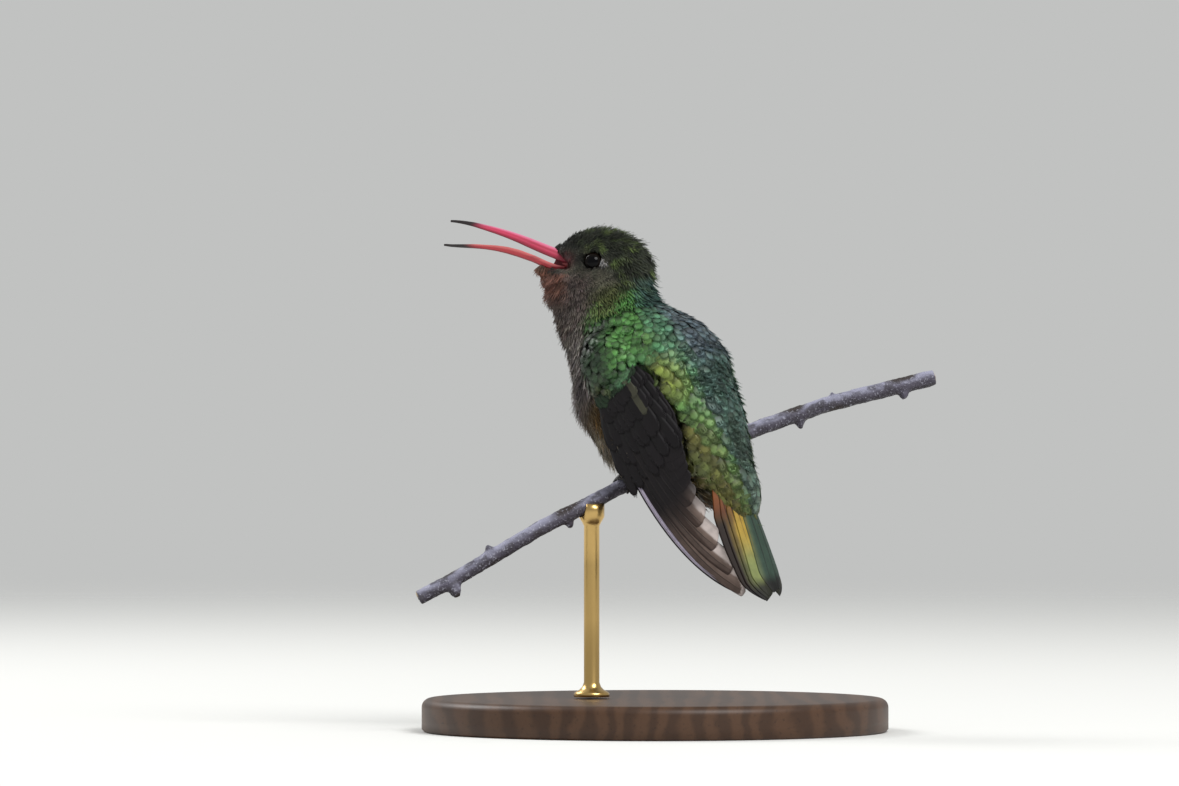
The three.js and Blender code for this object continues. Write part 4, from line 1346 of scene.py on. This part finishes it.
# Rows of coverts down the folded wing: u of the roots, length, half width, how many, and the height.
COVERT_ROWS = [
    (9.5, 9.0, 1.25, 8, 0.07),
    (6.5, 7.0, 1.25, 10, 0.11),
    (3.6, 5.6, 1.2, 11, 0.16),
    (1.2, 4.4, 1.1, 12, 0.22),
    (-0.8, 3.6, 1.0, 12, 0.30),
]
BLADE_U = [-2, 0.7, 6, 12, 18]
BLADE_FRONT = [-1.0, -1.4, -3.6, -5.1, -6.0]  # the blade's edges in v, at those u
BLADE_BACK = [9.0, 10.4, 10.6, 10.4, 9.8]
COVERT_BLACK = colour(14, 11, 14)
COVERT_GREY = colour(28, 24, 28)
COVERT_OLIVE = colour(92, 92, 74)


def covert_tint(u, share, local):
    """A covert's colour, for its row and its share of the way across the wing."""
    c = mix(COVERT_BLACK, COVERT_GREY, local.uniform(0, 0.4))
    c = mix(c, FOREST, 0.5 * step(1.0, -1.0, u))
    return mix(c, COVERT_OLIVE, 0.45) if u < 4 and 0.66 < share < 0.73 else c


def make_coverts(name, side, material):
    local = np.random.default_rng(23)
    places, widths, tints = [], [], []
    for u, length, width, count, height in COVERT_ROWS:
        front, back = np.interp(u, BLADE_U, BLADE_FRONT) + 0.5, np.interp(u, BLADE_U, BLADE_BACK) - 1.0
        for j in range(count):
            share = (j + 0.5 + local.uniform(-0.2, 0.2)) / count
            v = front + (back - front) * share
            slope = np.interp(v, [-4, 2, 10], [-0.34, -0.12, 0.03]) + local.uniform(-0.04, 0.04)
            reach = length * local.uniform(0.9, 1.1) * (1.15 - 0.3 * share) * STATIONS
            w = WING["layer"] * np.clip((v - 0.2) / 0.6, 0, 11) + height + np.array([-0.1, 0.0, 0.02, 0.02])
            places.append(wing_point(u + reach, v + slope * reach, w, side))
            widths.append(width * local.uniform(0.9, 1.1))
            tints.append(covert_tint(u, share, local))
    places, widths, tints = (np.array(x) for x in (places, widths, tints))
    normals = np.broadcast_to(side * LEFT, places.shape)
    choice = local.integers(0, len(SHAPES["covert"]), len(places))
    parts = feathers(places, normals, widths, "covert", 0.05, 0.04, choice)
    lucks = local.uniform(0.35, 0.65, len(places))
    add_coat(f"coverts_{name}", places[:, 0], parts, tints, lucks, material, "wing_coverts")


covert_material = feather_material("covert_vane", 0.62, 0.1, 0.05, 0.3, gloss=0.2)
for name, side in SIDES.items():
    make_coverts(name, side, covert_material)

# ---------------------------------------------------------------- tail

GOLD = colour(154, 128, 48)
GOLD_GREEN = colour(112, 120, 70)
TAIL_GREEN = colour(46, 64, 54)
TAIL_BROWN = colour(30, 20, 15)
TAIL_RUFOUS = colour(100, 48, 17)
TAIL_TIP = colour(15, 13, 13)
# For each pair outside the middle one, how rufous its root is, how brown its edge, and how brown it all is.
OUTER_PAIRS = [(0.2, 0.05, 0), (0.7, 0.75, 0), (0.95, 1.0, 0.75), (0.95, 1.0, 1.0)]
# Where each pair's shafts cross the tail at root, middle and tip, and the middle pair's shift aside.
RECTRIX_ROOT, RECTRIX_MIDDLE, RECTRIX_TIP = (0.5, 0.95), (1.0, 1.05), (0.7, 0.25)
TAIL_SWING = (0, 0.7, 2.3)  # of root, middle and tip towards the bird's left
MIDDLE_PAIR_SHIFT = -0.9
INNER_CORNER, OUTER_CORNER = (1.3, 2.4), (2.6, 1.7)  # slants of the vanes' ends
TAIL_VANE = (100, 15, 0.08, 0.03)  # rows and columns of points, thickness and droop


def tail_tint(rows, pair, side):
    """The colour of a tail feather, pair 0 in the middle."""
    _, _, along, across, _, shaft = rows.T
    if pair == 0:
        c = mix(TAIL_GREEN, GOLD_GREEN, 0.35 * step(0.3, 0.95, across))
    else:
        rufous, edge, whole = OUTER_PAIRS[pair - 1]
        c = mix(GOLD, GOLD_GREEN, step(0.4, 0.72, along))
        c = mix(c, TAIL_RUFOUS, rufous * step(0.42, 0.22, along))
        brown = np.maximum(step(0.45, 0.85, across * side) * edge, whole)
        c = mix(c, TAIL_BROWN, brown * step(0.1, 0.34, along))
    c = mix(c, TAIL_TIP, 0.95 * step(0.80, 0.92, along))
    return mix(c, QUILL, 0.6 * shaft)


def tail_shaft(pair, side, length):
    """Root, bend and tip of a tail feather's shaft along and across the tail."""
    shift = MIDDLE_PAIR_SHIFT if pair == 0 else 0
    q = [side * (first + each * pair) for first, each in (RECTRIX_ROOT, RECTRIX_MIDDLE, RECTRIX_TIP)]
    q = [x + swing - 0.35 * (side < 0) for x, swing in zip(q, TAIL_SWING)]
    return [[0, q[0] + 0.4 * shift], [length * 0.55, q[1] + shift], [length, q[2] + shift]]


def make_tail():
    local = np.random.default_rng(22)
    meshes, tints = [], []
    for side in (-1, 1):
        for pair, length in enumerate(RECTRIX_LENGTH):
            shaft = tail_shaft(pair, side, length - 0.5 * (side < 0))
            vane = Vane(shaft, (TAIL["half_width"],) * 2, (INNER_CORNER, OUTER_CORNER)[::side])
            lift = 0.4 - TAIL["layer"] * pair + (0.05 if side > 0 else 0)
            mesh = vane.mesh(lift, tail_point, *TAIL_VANE, local)
            meshes.append(mesh)
            tints.append(tail_tint(mesh[2], pair, side))
    material = flight_material("tail_vane", 0.15, 0.55, 0.08, 0.25)
    feather_set("tail_feathers", meshes, tints, material, "tail_feathers", "tail")


make_tail()

# ---------------------------------------------------------------- bill

SECTIONS = 110
ROOT_MARGIN, TIP_MARGIN = 0.35, 0.04  # between a bill's ends and its end sections


def sections(node):
    """Place, half depth and half width of a long node at planes square to X, from root to tip."""
    points, triangles = node_arrays(node)
    edges = np.concatenate([triangles[:, [0, 1]], triangles[:, [1, 2]], triangles[:, [2, 0]]])
    a, b = points[edges[:, 0]], points[edges[:, 1]]
    rows = []
    for x in np.linspace(points[:, 0].max() - ROOT_MARGIN, points[:, 0].min() + TIP_MARGIN, SECTIONS):
        cut = (a[:, 0] - x) * (b[:, 0] - x) < 0
        share = ((x - a[cut, 0]) / (b[cut, 0] - a[cut, 0]))[:, None]
        at = a[cut] + share * (b[cut] - a[cut])
        lo, hi = at.min(0), at.max(0)
        rows.append([x, (lo[1] + hi[1]) / 2, (lo[2] + hi[2]) / 2, (hi[2] - lo[2]) / 2, (hi[1] - lo[1]) / 2])
    rows = np.array(rows)
    even_out(rows[:, 1:], 3)
    return rows


def section_at(rows, x):
    """Y, Z, half depth and half width of a bill at an X."""
    return [np.interp(-x, -rows[:, 0], rows[:, k]) for k in range(1, 5)]


def bill_section():
    """One section of the upper bill: across and up, each from -1 to 1, and how far up the side a point is
    (below 0 inside the mouth). The back is domed, the cutting edges are sharp and the mouth side hollow."""
    a = np.linspace(0, np.pi, 23)
    wide = 1 - 0.1 * bump(np.sin(a), 0.55, 0.14)
    outside = np.stack([np.cos(a) * wide, -1 + 2 * np.sin(a) ** 0.85, np.sin(a)], 1)
    b = np.linspace(np.pi, 2 * np.pi, 13)[1:-1]
    inside = np.stack([np.cos(b) * 0.86, -1 - 0.5 * np.sin(b), 0.6 * np.sin(b)], 1)
    return np.concatenate([outside, inside])


UPPER, LOWER = sections("bill_upper"), sections("bill_lower")
# Each bill's red is lighter above and darker below: a painted highlight on the upper bill's back and the
# lower bill's edge, and painted shade at the upper bill's edge and on the lower bill's back, its underside.
UPPER_BILL_SHADED_COLOURS = [colour(140, 30, 52), colour(186, 52, 84), colour(206, 116, 148)]  # edge, side, back
LOWER_BILL_SHADED_COLOURS = [colour(196, 100, 100), colour(176, 48, 58), colour(126, 30, 40)]
BILL_BLACK = colour(28, 20, 22)
BILL_BLACK_FROM = 0.78  # of the length
# Pale pink on the mouth side of both bills, partly a painted highlight where the lower bill's trough catches
# the light.
BILL_MOUTH = colour(190, 96, 90)
BILL_ROOT_SHADOW = colour(120, 20, 36)


def bill_tint(along, height, upper):
    low, side, high = UPPER_BILL_SHADED_COLOURS if upper else LOWER_BILL_SHADED_COLOURS
    # Painted light and shade from each bill's edge up to its back.
    c = mix(low, side, step(0.1, 0.45, height))
    c = mix(c, high, step(0.66, 0.98, height))
    c = mix(c, BILL_MOUTH, step(0.0, -0.15, height))
    # Painted shade in the groove along the upper bill's side, towards its root.
    c = mix(c, UPPER_BILL_SHADED_COLOURS[0], 0.7 * bump(height, 0.55, 0.1) * step(0.5, 0.25, along) * upper)
    # Painted shadow of the feathers on the bill's root.
    c = mix(c, BILL_ROOT_SHADOW, 0.6 * step(0.16, 0.0, along))
    return mix(c, BILL_BLACK, step(BILL_BLACK_FROM - 0.06, BILL_BLACK_FROM + 0.08, along + 0.04 * height))


def make_bill(name, rows, upper):
    across, up, height = bill_section().T
    flip = 1 if upper else -1
    x, y, z, half, wide = (rows[:, k : k + 1] for k in range(5))
    rings = np.stack(np.broadcast_arrays(x, y + flip * across * wide, z + flip * up * half), 2)
    tip = rings[-1:].mean(1, keepdims=True)
    rings = np.concatenate([rings, tip + (rings[-1:] - tip) * 0.5 - [[[0.08, 0, 0]]]])
    points, faces = loft(rings)
    t = np.append(np.linspace(0, 1, len(rows)), 1.0)
    along = np.concatenate([np.repeat(t, len(across)), [0, 1]])
    height = np.concatenate([np.tile(height, len(rings)), [0, 0]])
    n = Nodes(f"{name}_horn")
    streak = n.noise(1100, 4, n.stretched((0.1, 1, 1)))
    base = n.blend(n.tint(), (0.16, 0.015, 0.03), n.ramp(streak, 0.5, 0.75, 0.0, 0.35))
    n.bump(streak, 0.2, 0.00006)
    material = n.finish(base, n.ramp(streak, 0.3, 0.7, 0.32, 0.48))
    tint = bill_tint(along, height, upper)
    add_piece(f"{name}_horn", points, faces, material, "bill", tint=tint, replaces=[name])


def make_mouth():
    """The flesh between the jaws, back from where they meet, and the soft corner of the gape."""
    a = circle(20)
    rings = []
    for x in np.linspace(-14.6, -17.0, 14):
        (y, top, top_half, _), (_, low, low_half, _) = section_at(UPPER, x), section_at(LOWER, x)
        top, low = top - 0.8 * top_half, low + 0.8 * low_half
        half = (top - low) / 2 + np.interp(x, [-16.5, -15.9], [0, 0.5])
        wide = np.interp(x, [-17.0, -16.5, -15.9], [0.75, 0.85, 1.2])
        rings.append(np.stack([0 * a + x, y + wide * np.cos(a), (top + low) / 2 + half * np.sin(a)], 1))
    # The flesh's red, darkened as painted shade inside the open mouth.
    dark, light = (0.19, 0.012, 0.02), (0.36, 0.05, 0.05)
    wet = Nodes("mouth").mottled(2500, (0.4, 0.00006), dark, light, (0.35, 0.7), 0.35)
    add_piece("mouth_lining", *loft(np.array(rings)), wet, "bill")


make_bill("bill_upper", UPPER, True)
make_bill("bill_lower", LOWER, False)
make_mouth()

# ---------------------------------------------------------------- feathers at the bill's root

# Where the foremost roots on the forehead stand: heights, and X at each.
FOREHEAD_EDGE = ([84.6, 85.6, 86.4, 87.4], [-16.0, -16.4, -17.0, -18.3])
UPPER_BRISTLES, LOWER_BRISTLES = 520, 240  # tried on the upper bill, and on the lower
BRISTLE_LENGTHS = (1.5, 1.9)
BRISTLE_HALF_WIDTH = 0.2
LINE_BEND = 0.35  # of the small feathers, as a share of their length


def on_bill(rows, local, angles, xs):
    """A place on a bill at an X and an angle up from its left side, with both."""
    a = math.radians(local.uniform(*angles))
    x = local.uniform(*xs)
    y, z, half, wide = section_at(rows, x)
    return np.array([x, y + wide * math.cos(a), z + half * math.sin(a)]), a


def bill_roots(local):
    """Where the small feathers at the bill's root stand, which way they point and how long they are."""
    rows = []
    for _ in range(UPPER_BRISTLES):
        root, a = on_bill(UPPER, local, (-25, 205), (-18.4, -15.2))
        if root[0] >= np.interp(root[2], *FOREHEAD_EDGE) - 0.05:
            rows.append((root, [0.9, 0.42 * math.cos(a), 0.08 + 0.26 * math.sin(a)], BRISTLE_LENGTHS[0]))
    for _ in range(LOWER_BRISTLES):
        root, a = on_bill(LOWER, local, (-140, -40), (-20.6, -16.6))
        ahead = step(-17.5, -20.5, root[0])
        way = [0.3 - 0.9 * ahead, 0.55 * math.cos(a), -0.85 + 0.2 * ahead]
        rows.append((root, way, BRISTLE_LENGTHS[1]))
    roots, ways, lengths = (np.array([row[k] for row in rows], float) for k in range(3))
    ways = unit(ways + local.normal(0, 0.12, ways.shape))
    return roots, ways, lengths * local.uniform(0.75, 1.15, len(rows))


def make_bill_feathers():
    local = np.random.default_rng(41)
    roots, ways, lengths = bill_roots(local)
    count = len(roots)
    bend = np.array([0.25, 0, -0.5]) * (roots[:, 2] < GAPE_HEIGHT)[:, None] + [0.1, 0, 0]
    t = STATIONS[None, :, None]
    places = roots[:, None] + lengths[:, None, None] * (t * ways[:, None] + LINE_BEND * t**2 * bend[:, None])
    normals = unit(np.cross(np.cross(ways, roots - [-17.0, BILL_MIDDLE[1] + 1.5, 85.6]), ways))
    normals = np.repeat(normals[:, None], LINE_STATIONS, axis=1)
    chin = step(84.4, 83.6, roots[:, 2]) * local.uniform(0.3, 1.0, count)
    tints = mix(marking(places[:, 2:].mean(1)), mix(RUFOUS, DUSK, 0.35), chin)
    tints = tints * local.uniform(0.7, 1.2, (count, 1))
    choice = local.integers(0, len(SHAPES["spike"]), count)
    parts = feathers(places, normals, np.full(count, BRISTLE_HALF_WIDTH), "spike", 0.05, 0.03, choice)
    material = feather_material("bristle", 0.75, 0.15, 0.03, 0.4)
    add_coat("bill_root_feathers", roots, parts, tints, local.random(count), material)


make_bill_feathers()

# ---------------------------------------------------------------- eyes

LID_OPENING = 1.3  # half width of the open lids
LID_TUBE = 0.1


def ball(centre, radius, wide=48, high=32):
    """A sphere whose poles are on the eye's own axis."""
    theta = np.linspace(0.03, np.pi - 0.03, high)[:, None, None]
    phi = circle(wide)[None, :, None]
    ahead = unit(np.cross(EYE_OUT, UP))
    flat = np.sin(theta) * np.cos(phi) * ahead + np.sin(theta) * np.sin(phi) * UP
    return loft((centre + radius * (flat + np.cos(theta) * EYE_OUT))[::-1])


def lid_ring(centre, out):
    """The thin rim of the lids, finely wrinkled, round the open eye."""
    around, section = 96, 12
    a, b = circle(around)[:, None, None], circle(section)[None, :, None]
    radial = np.cos(a) * np.cross(out, UP) + 0.95 * np.sin(a) * UP
    sunk = np.sqrt(EYE_RADIUS**2 - LID_OPENING**2) + 0.02
    wave = 1 + 0.07 * np.sin(a * 31) + 0.05 * np.sin(a * 19)
    rim = LID_TUBE * wave * (np.cos(b) * radial + 1.1 * np.sin(b) * out)
    places = (centre + sunk * out + LID_OPENING * radial + rim).reshape(-1, 3)
    return places, ring_quads(around + 1, section)[:, [0, 3, 2, 1]] % len(places)


def make_eyes():
    n = Nodes("eye")
    iris = n.ramp(n.attribute("iris"), 0.5, 0.72)
    eye = n.finish(n.blend((0.001, 0.001, 0.0015), (0.005, 0.003, 0.002), iris), 0.07, IOR=1.2)
    dark, light = (0.002, 0.002, 0.002), (0.008, 0.007, 0.006)
    lid = Nodes("lid").mottled(3000, (0.6, 0.00006), dark, light, None, 0.85, Specular_IOR_Level=0.1)
    for name, side in SIDES.items():
        centre = EYES[name]
        points, faces = ball(centre, EYE_RADIUS)
        values = {"iris": np.linalg.norm(np.cross(points - centre, EYE_OUT), axis=1) / EYE_RADIUS}
        add_piece(f"eyeball_{name}", points, faces, eye, "eye", values=values, replaces=[f"eye_{name}"])
        add_piece(f"lids_{name}", *lid_ring(centre, side * EYE_OUT), lid, "plumage")


make_eyes()

# ---------------------------------------------------------------- twig

BARK_SIDE = colour(74, 70, 84)
BARK_TOP_HIGHLIGHT = colour(142, 142, 162)
BARK_UNDER_SHADE = colour(36, 30, 34)
BARK_PATCH = colour(58, 54, 62)
BARK_KNOT = colour(40, 30, 28)
CUT_WOOD = colour(190, 168, 130)
TWIG_VOXEL = 0.26
BARK_DEPTH = 0.05  # by which the bark lies inside the solid on average


def bark_material():
    n = Nodes("bark")
    grain = n.noise(700, 6, n.stretched((0.35, 1, 1)))
    spots = n.noise(2600, 3)
    base = n.blend(n.tint(), (0.03, 0.026, 0.03), n.ramp(grain, 0.45, 0.75, 0.0, 0.7))
    base = n.blend(base, (0.42, 0.42, 0.5), n.ramp(spots, 0.56, 0.7, 0.0, 0.5))
    n.bump(n.math("ADD", grain, spots), 0.6, 0.0004)
    return n.finish(base, n.ramp(grain, 0.3, 0.7, 0.6, 0.9))


def twig_core(points, low, high):
    """The twig's middle line, from end to end."""
    xs = np.linspace(low + 1, high - 1, 60)
    core = np.array([np.median(points[np.abs(points[:, 0] - x) < 2.6], axis=0) for x in xs])
    core[:, 0] = xs
    even_out(core, 4)
    return core


def make_perch():
    solid = node_arrays("perch")[0]
    low, high = solid[:, 0].min(), solid[:, 0].max()
    core = twig_core(solid, low, high)
    points, quads = remeshed(["perch"], 0, TWIG_VOXEL)
    points = smoothed(points, quads, 10)
    normals = vertex_normals(points, split_quads(quads))
    near = np.argmin(((points[:, None] - core[None]) ** 2).sum(2), 1)
    way = unit(np.gradient(core, axis=0))[near]
    offset = points - core[near]
    radial = offset - (offset * way).sum(1)[:, None] * way
    stretched = points - 0.8 * (points * way).sum(1)[:, None] * way
    rough = 0.05 * noise(stretched, 0.9, 31) + 0.035 * noise(points, 0.8, 32) + 0.06 * noise(points, 2.6, 33)
    points = points + (rough - BARK_DEPTH)[:, None] * normals
    # Painted light: the twig's top lighter and its underside darker, as light from above falls on it.
    c = mix(BARK_SIDE, BARK_TOP_HIGHLIGHT, step(-0.1, 0.8, normals[:, 2]))
    c = mix(c, BARK_UNDER_SHADE, step(0.1, -0.9, normals[:, 2]) * 0.7)
    c = mix(c, BARK_PATCH, 0.75 * step(0.1, 0.7, noise(stretched, 2.2, 34)))
    c = mix(c, BARK_KNOT, step(1.75, 2.3, np.linalg.norm(radial, axis=1)))
    x = points[:, 0]
    end = np.maximum(step(low + 0.9, low + 0.3, x), step(high - 0.9, high - 0.3, x))
    c = mix(c, CUT_WOOD, end * step(0.6, 0.85, np.abs((normals * way).sum(1))))
    add_piece("perch_bark", points, quads, bark_material(), "bark", tint=c, replaces=["perch"])


make_perch()
PERCH = tree_of(*node_arrays("perch"))

# ---------------------------------------------------------------- feet

TOE_SHIFT = 0.6  # at most, towards the twig
FOOT_GROWN, FOOT_SHRUNK = 0.16, 0.03  # before and after the toes are joined to one skin
FOOT_VOXEL = 0.12


def gripped(points):
    """The points of a foot, with those near the twig but clear of it moved towards it."""
    found = [PERCH.find_nearest(Vector(p))[:2] for p in points]
    down = np.array([place for place, _ in found]) - points
    outside = np.array([(place - Vector(p)).dot(normal) < 0 for (place, normal), p in zip(found, points)])
    gap = np.linalg.norm(down, axis=1) * outside
    return points + (TOE_SHIFT * step(0.1, 0.8, gap) * step(4, 2, gap))[:, None] * unit(down)


def make_feet():
    dark, light = (0.006, 0.005, 0.006), (0.025, 0.022, 0.022)
    material = Nodes("foot").mottled(2200, (0.5, 0.0001), dark, light, (0.4, 0.7), 0.5)
    for name in SIDES:
        nodes = [f"foot_{name}", f"leg_{name}"]
        points, quads = remeshed(nodes, FOOT_GROWN, FOOT_VOXEL)
        points = smoothed(gripped(smoothed(points, quads, 8)), quads, 4)
        points = points - FOOT_SHRUNK * vertex_normals(points, split_quads(quads))
        add_piece(f"foot_and_leg_{name}", points, quads, material, "feet", replaces=nodes)


make_feet()

# ---------------------------------------------------------------- stand

BASE_ROUND, BASE_CHAMFER, BASE_RIM = 1.6, 0.5, 2.2  # of the upper edge, of the lower edge, and between
BASE_SIDES, ROD_SIDES = 128, 64
ROD_RADIUS = 1.4
CUP_DEPTH = 3  # of the cup's part that follows the twig
CUP_GAP = 0.02  # below the twig


def turned(rows, sides, x, y):
    """A form turned about an upright axis, from rows of radius and height."""
    a = circle(sides)
    radius, height = (np.array(rows, float)[:, k : k + 1] for k in range(2))
    return loft(np.stack(np.broadcast_arrays(x + radius * np.cos(a), y + radius * np.sin(a), height), 2))


def make_base():
    low, high = (np.array(v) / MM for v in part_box("stand_base"))
    radius, height = (high[0] - low[0]) / 2, high[2]
    corner = [
        [radius - BASE_ROUND * (1 - math.cos(q)), height - BASE_ROUND * (1 - math.sin(q))]
        for q in np.linspace(0, np.pi / 2, 9)
    ]
    flat = [[r, height] for r in np.linspace(radius - BASE_ROUND, 0.5, 14)[1:]]
    under = [[0.5, 0], [radius - BASE_CHAMFER, 0], [radius, BASE_CHAMFER], [radius, BASE_RIM]]
    points, faces = turned([*under, *corner, *flat], BASE_SIDES, 0, 0)
    n = Nodes("walnut")
    place = n.stretched((40, 6, 40))
    rings = n.node("ShaderNodeTexWave", Vector=place, Scale=1.8, Distortion=9.0, Detail=4.0)
    pores = n.noise(1600, 5, n.stretched((1, 0.06, 1)))
    base = n.blend((0.042, 0.019, 0.009), (0.07, 0.033, 0.016), n.ramp(rings.outputs[1], 0.1, 0.9))
    base = n.blend(base, (0.02, 0.009, 0.005), n.ramp(pores, 0.55, 0.75, 0.0, 0.6))
    n.bump(pores, 0.1, 0.0001)
    wood = n.finish(base, 0.45, Specular_IOR_Level=0.35)
    add_piece("base_wood", points, faces, wood, "stand_wood", replaces=["stand_base"])


def make_rod():
    """The rod, from its collar on the base to the cup whose rim follows the twig's underside."""
    low, high = (np.array(v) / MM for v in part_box("stand_rod"))
    x, y = middle("stand_rod")[:2]
    bottom, top, rod = low[2], high[2], ROD_RADIUS
    collar = (high[0] - low[0]) / 2
    foot = [[0.1, 0], [collar, 0], [collar, 0.6], [collar - 0.25, 0.9], [2.2, 1.3], [rod + 0.3, 1.8]]
    neck = [[rod, bottom + 2.6], [rod, 20], [rod, 30], [rod, top - 4.0], [rod + 0.3, top - 3.4]]
    cup = [[rod + 0.9, -2.4], [rod + 0.9, -1.2], [rod + 0.9, 0], [rod + 0.5, 0], [0.1, 0]]
    rows = [*([r, bottom + z] for r, z in foot), *neck, *([r, top + z] for r, z in cup)]
    points, faces = turned(rows, ROD_SIDES, x, y)
    below, most = 12, 20
    for p in points:
        hit = None
        if p[2] > top - CUP_DEPTH:
            hit = PERCH.ray_cast(Vector((p[0], p[1], top - below)), Vector(UP), most)[0]
        if hit is not None:
            p[2] = min(p[2], hit[2] - CUP_GAP)
    n = Nodes("brass")
    lines = n.noise(500, 3, n.stretched((1, 1, 0.02)))
    base = n.blend((0.45, 0.29, 0.10), (0.62, 0.43, 0.17), lines)
    n.bump(lines, 0.08, 0.00005)
    add_piece("rod_brass", points, faces, n.finish(base, 0.28, 1.0), "stand_metal", replaces=["stand_rod"])


make_base()
make_rod()

# ---------------------------------------------------------------- floor, light and camera, in metres

AIM = (0, 0, 0.06)
LENS, SENSOR = 250, 36  # a long lens, for the photo's flat perspective
VIEW_WIDTH = 0.2122  # of the frame at the bird
VIEW_X, VIEW_HEIGHT = -0.01179, 0.0609  # of the frame's middle
FLOOR_RINGS = [1, 60, 150, 400, 1000, 2500]  # radii, in millimetres as every mesh's


def make_floor():
    """A wide pale disc that fades away into the backdrop."""
    a, radius = circle(96), np.array(FLOOR_RINGS, float)[:, None]
    rings = np.stack([radius * np.cos(a), radius * np.sin(a), 0 * radius * a], 2)
    mesh = mesh_of("floor", rings.reshape(-1, 3), ring_quads(len(radius), len(a))[:, [0, 3, 2, 1]])
    n = Nodes("floor")
    place = n.place()
    length = n.tree.nodes.new("ShaderNodeVectorMath")
    length.operation = "LENGTH"
    n.put(length.inputs[0], place)
    n.put(n.shader.inputs["Alpha"], n.ramp(length.outputs["Value"], 0.25, 1.4, 1.0, 0.0))
    mesh.materials.append(n.finish((0.74, 0.74, 0.72), 0.8))
    floor = link("floor", mesh)


def add_light(name, place, size, power):
    data = bpy.data.lights.new(name, "AREA")
    data.shape = "DISK"
    data.size = size
    data.energy = power
    light = link(name, data)
    light.location = place
    light.rotation_mode = "QUATERNION"
    light.rotation_quaternion = (Vector(AIM) - Vector(place)).to_track_quat("-Z", "Y")


def make_studio():
    make_floor()
    world = bpy.data.worlds.new("studio")
    world.use_nodes = True
    sky = world.node_tree.nodes["Background"].inputs
    sky["Color"].default_value = (0.86, 0.87, 0.86, 1)
    sky["Strength"].default_value = 0.62
    bpy.context.scene.world = world
    bpy.context.scene.view_settings.view_transform = "Standard"
    add_light("key", (0.55, -0.7, 0.95), 0.75, 14.0)
    add_light("rim", (-0.7, 0.5, 0.7), 0.5, 6.0)


def make_camera():
    camera = bpy.data.cameras.new("camera")
    camera.lens, camera.sensor_width = LENS, SENSOR
    camera.clip_start, camera.clip_end = 0.05, 20
    made = link("camera", camera)
    made.location = (VIEW_X, -VIEW_WIDTH * LENS / SENSOR, VIEW_HEIGHT)
    made.rotation_euler = (math.pi / 2, 0, 0)
    bpy.context.scene.camera = made


make_studio()
make_camera()
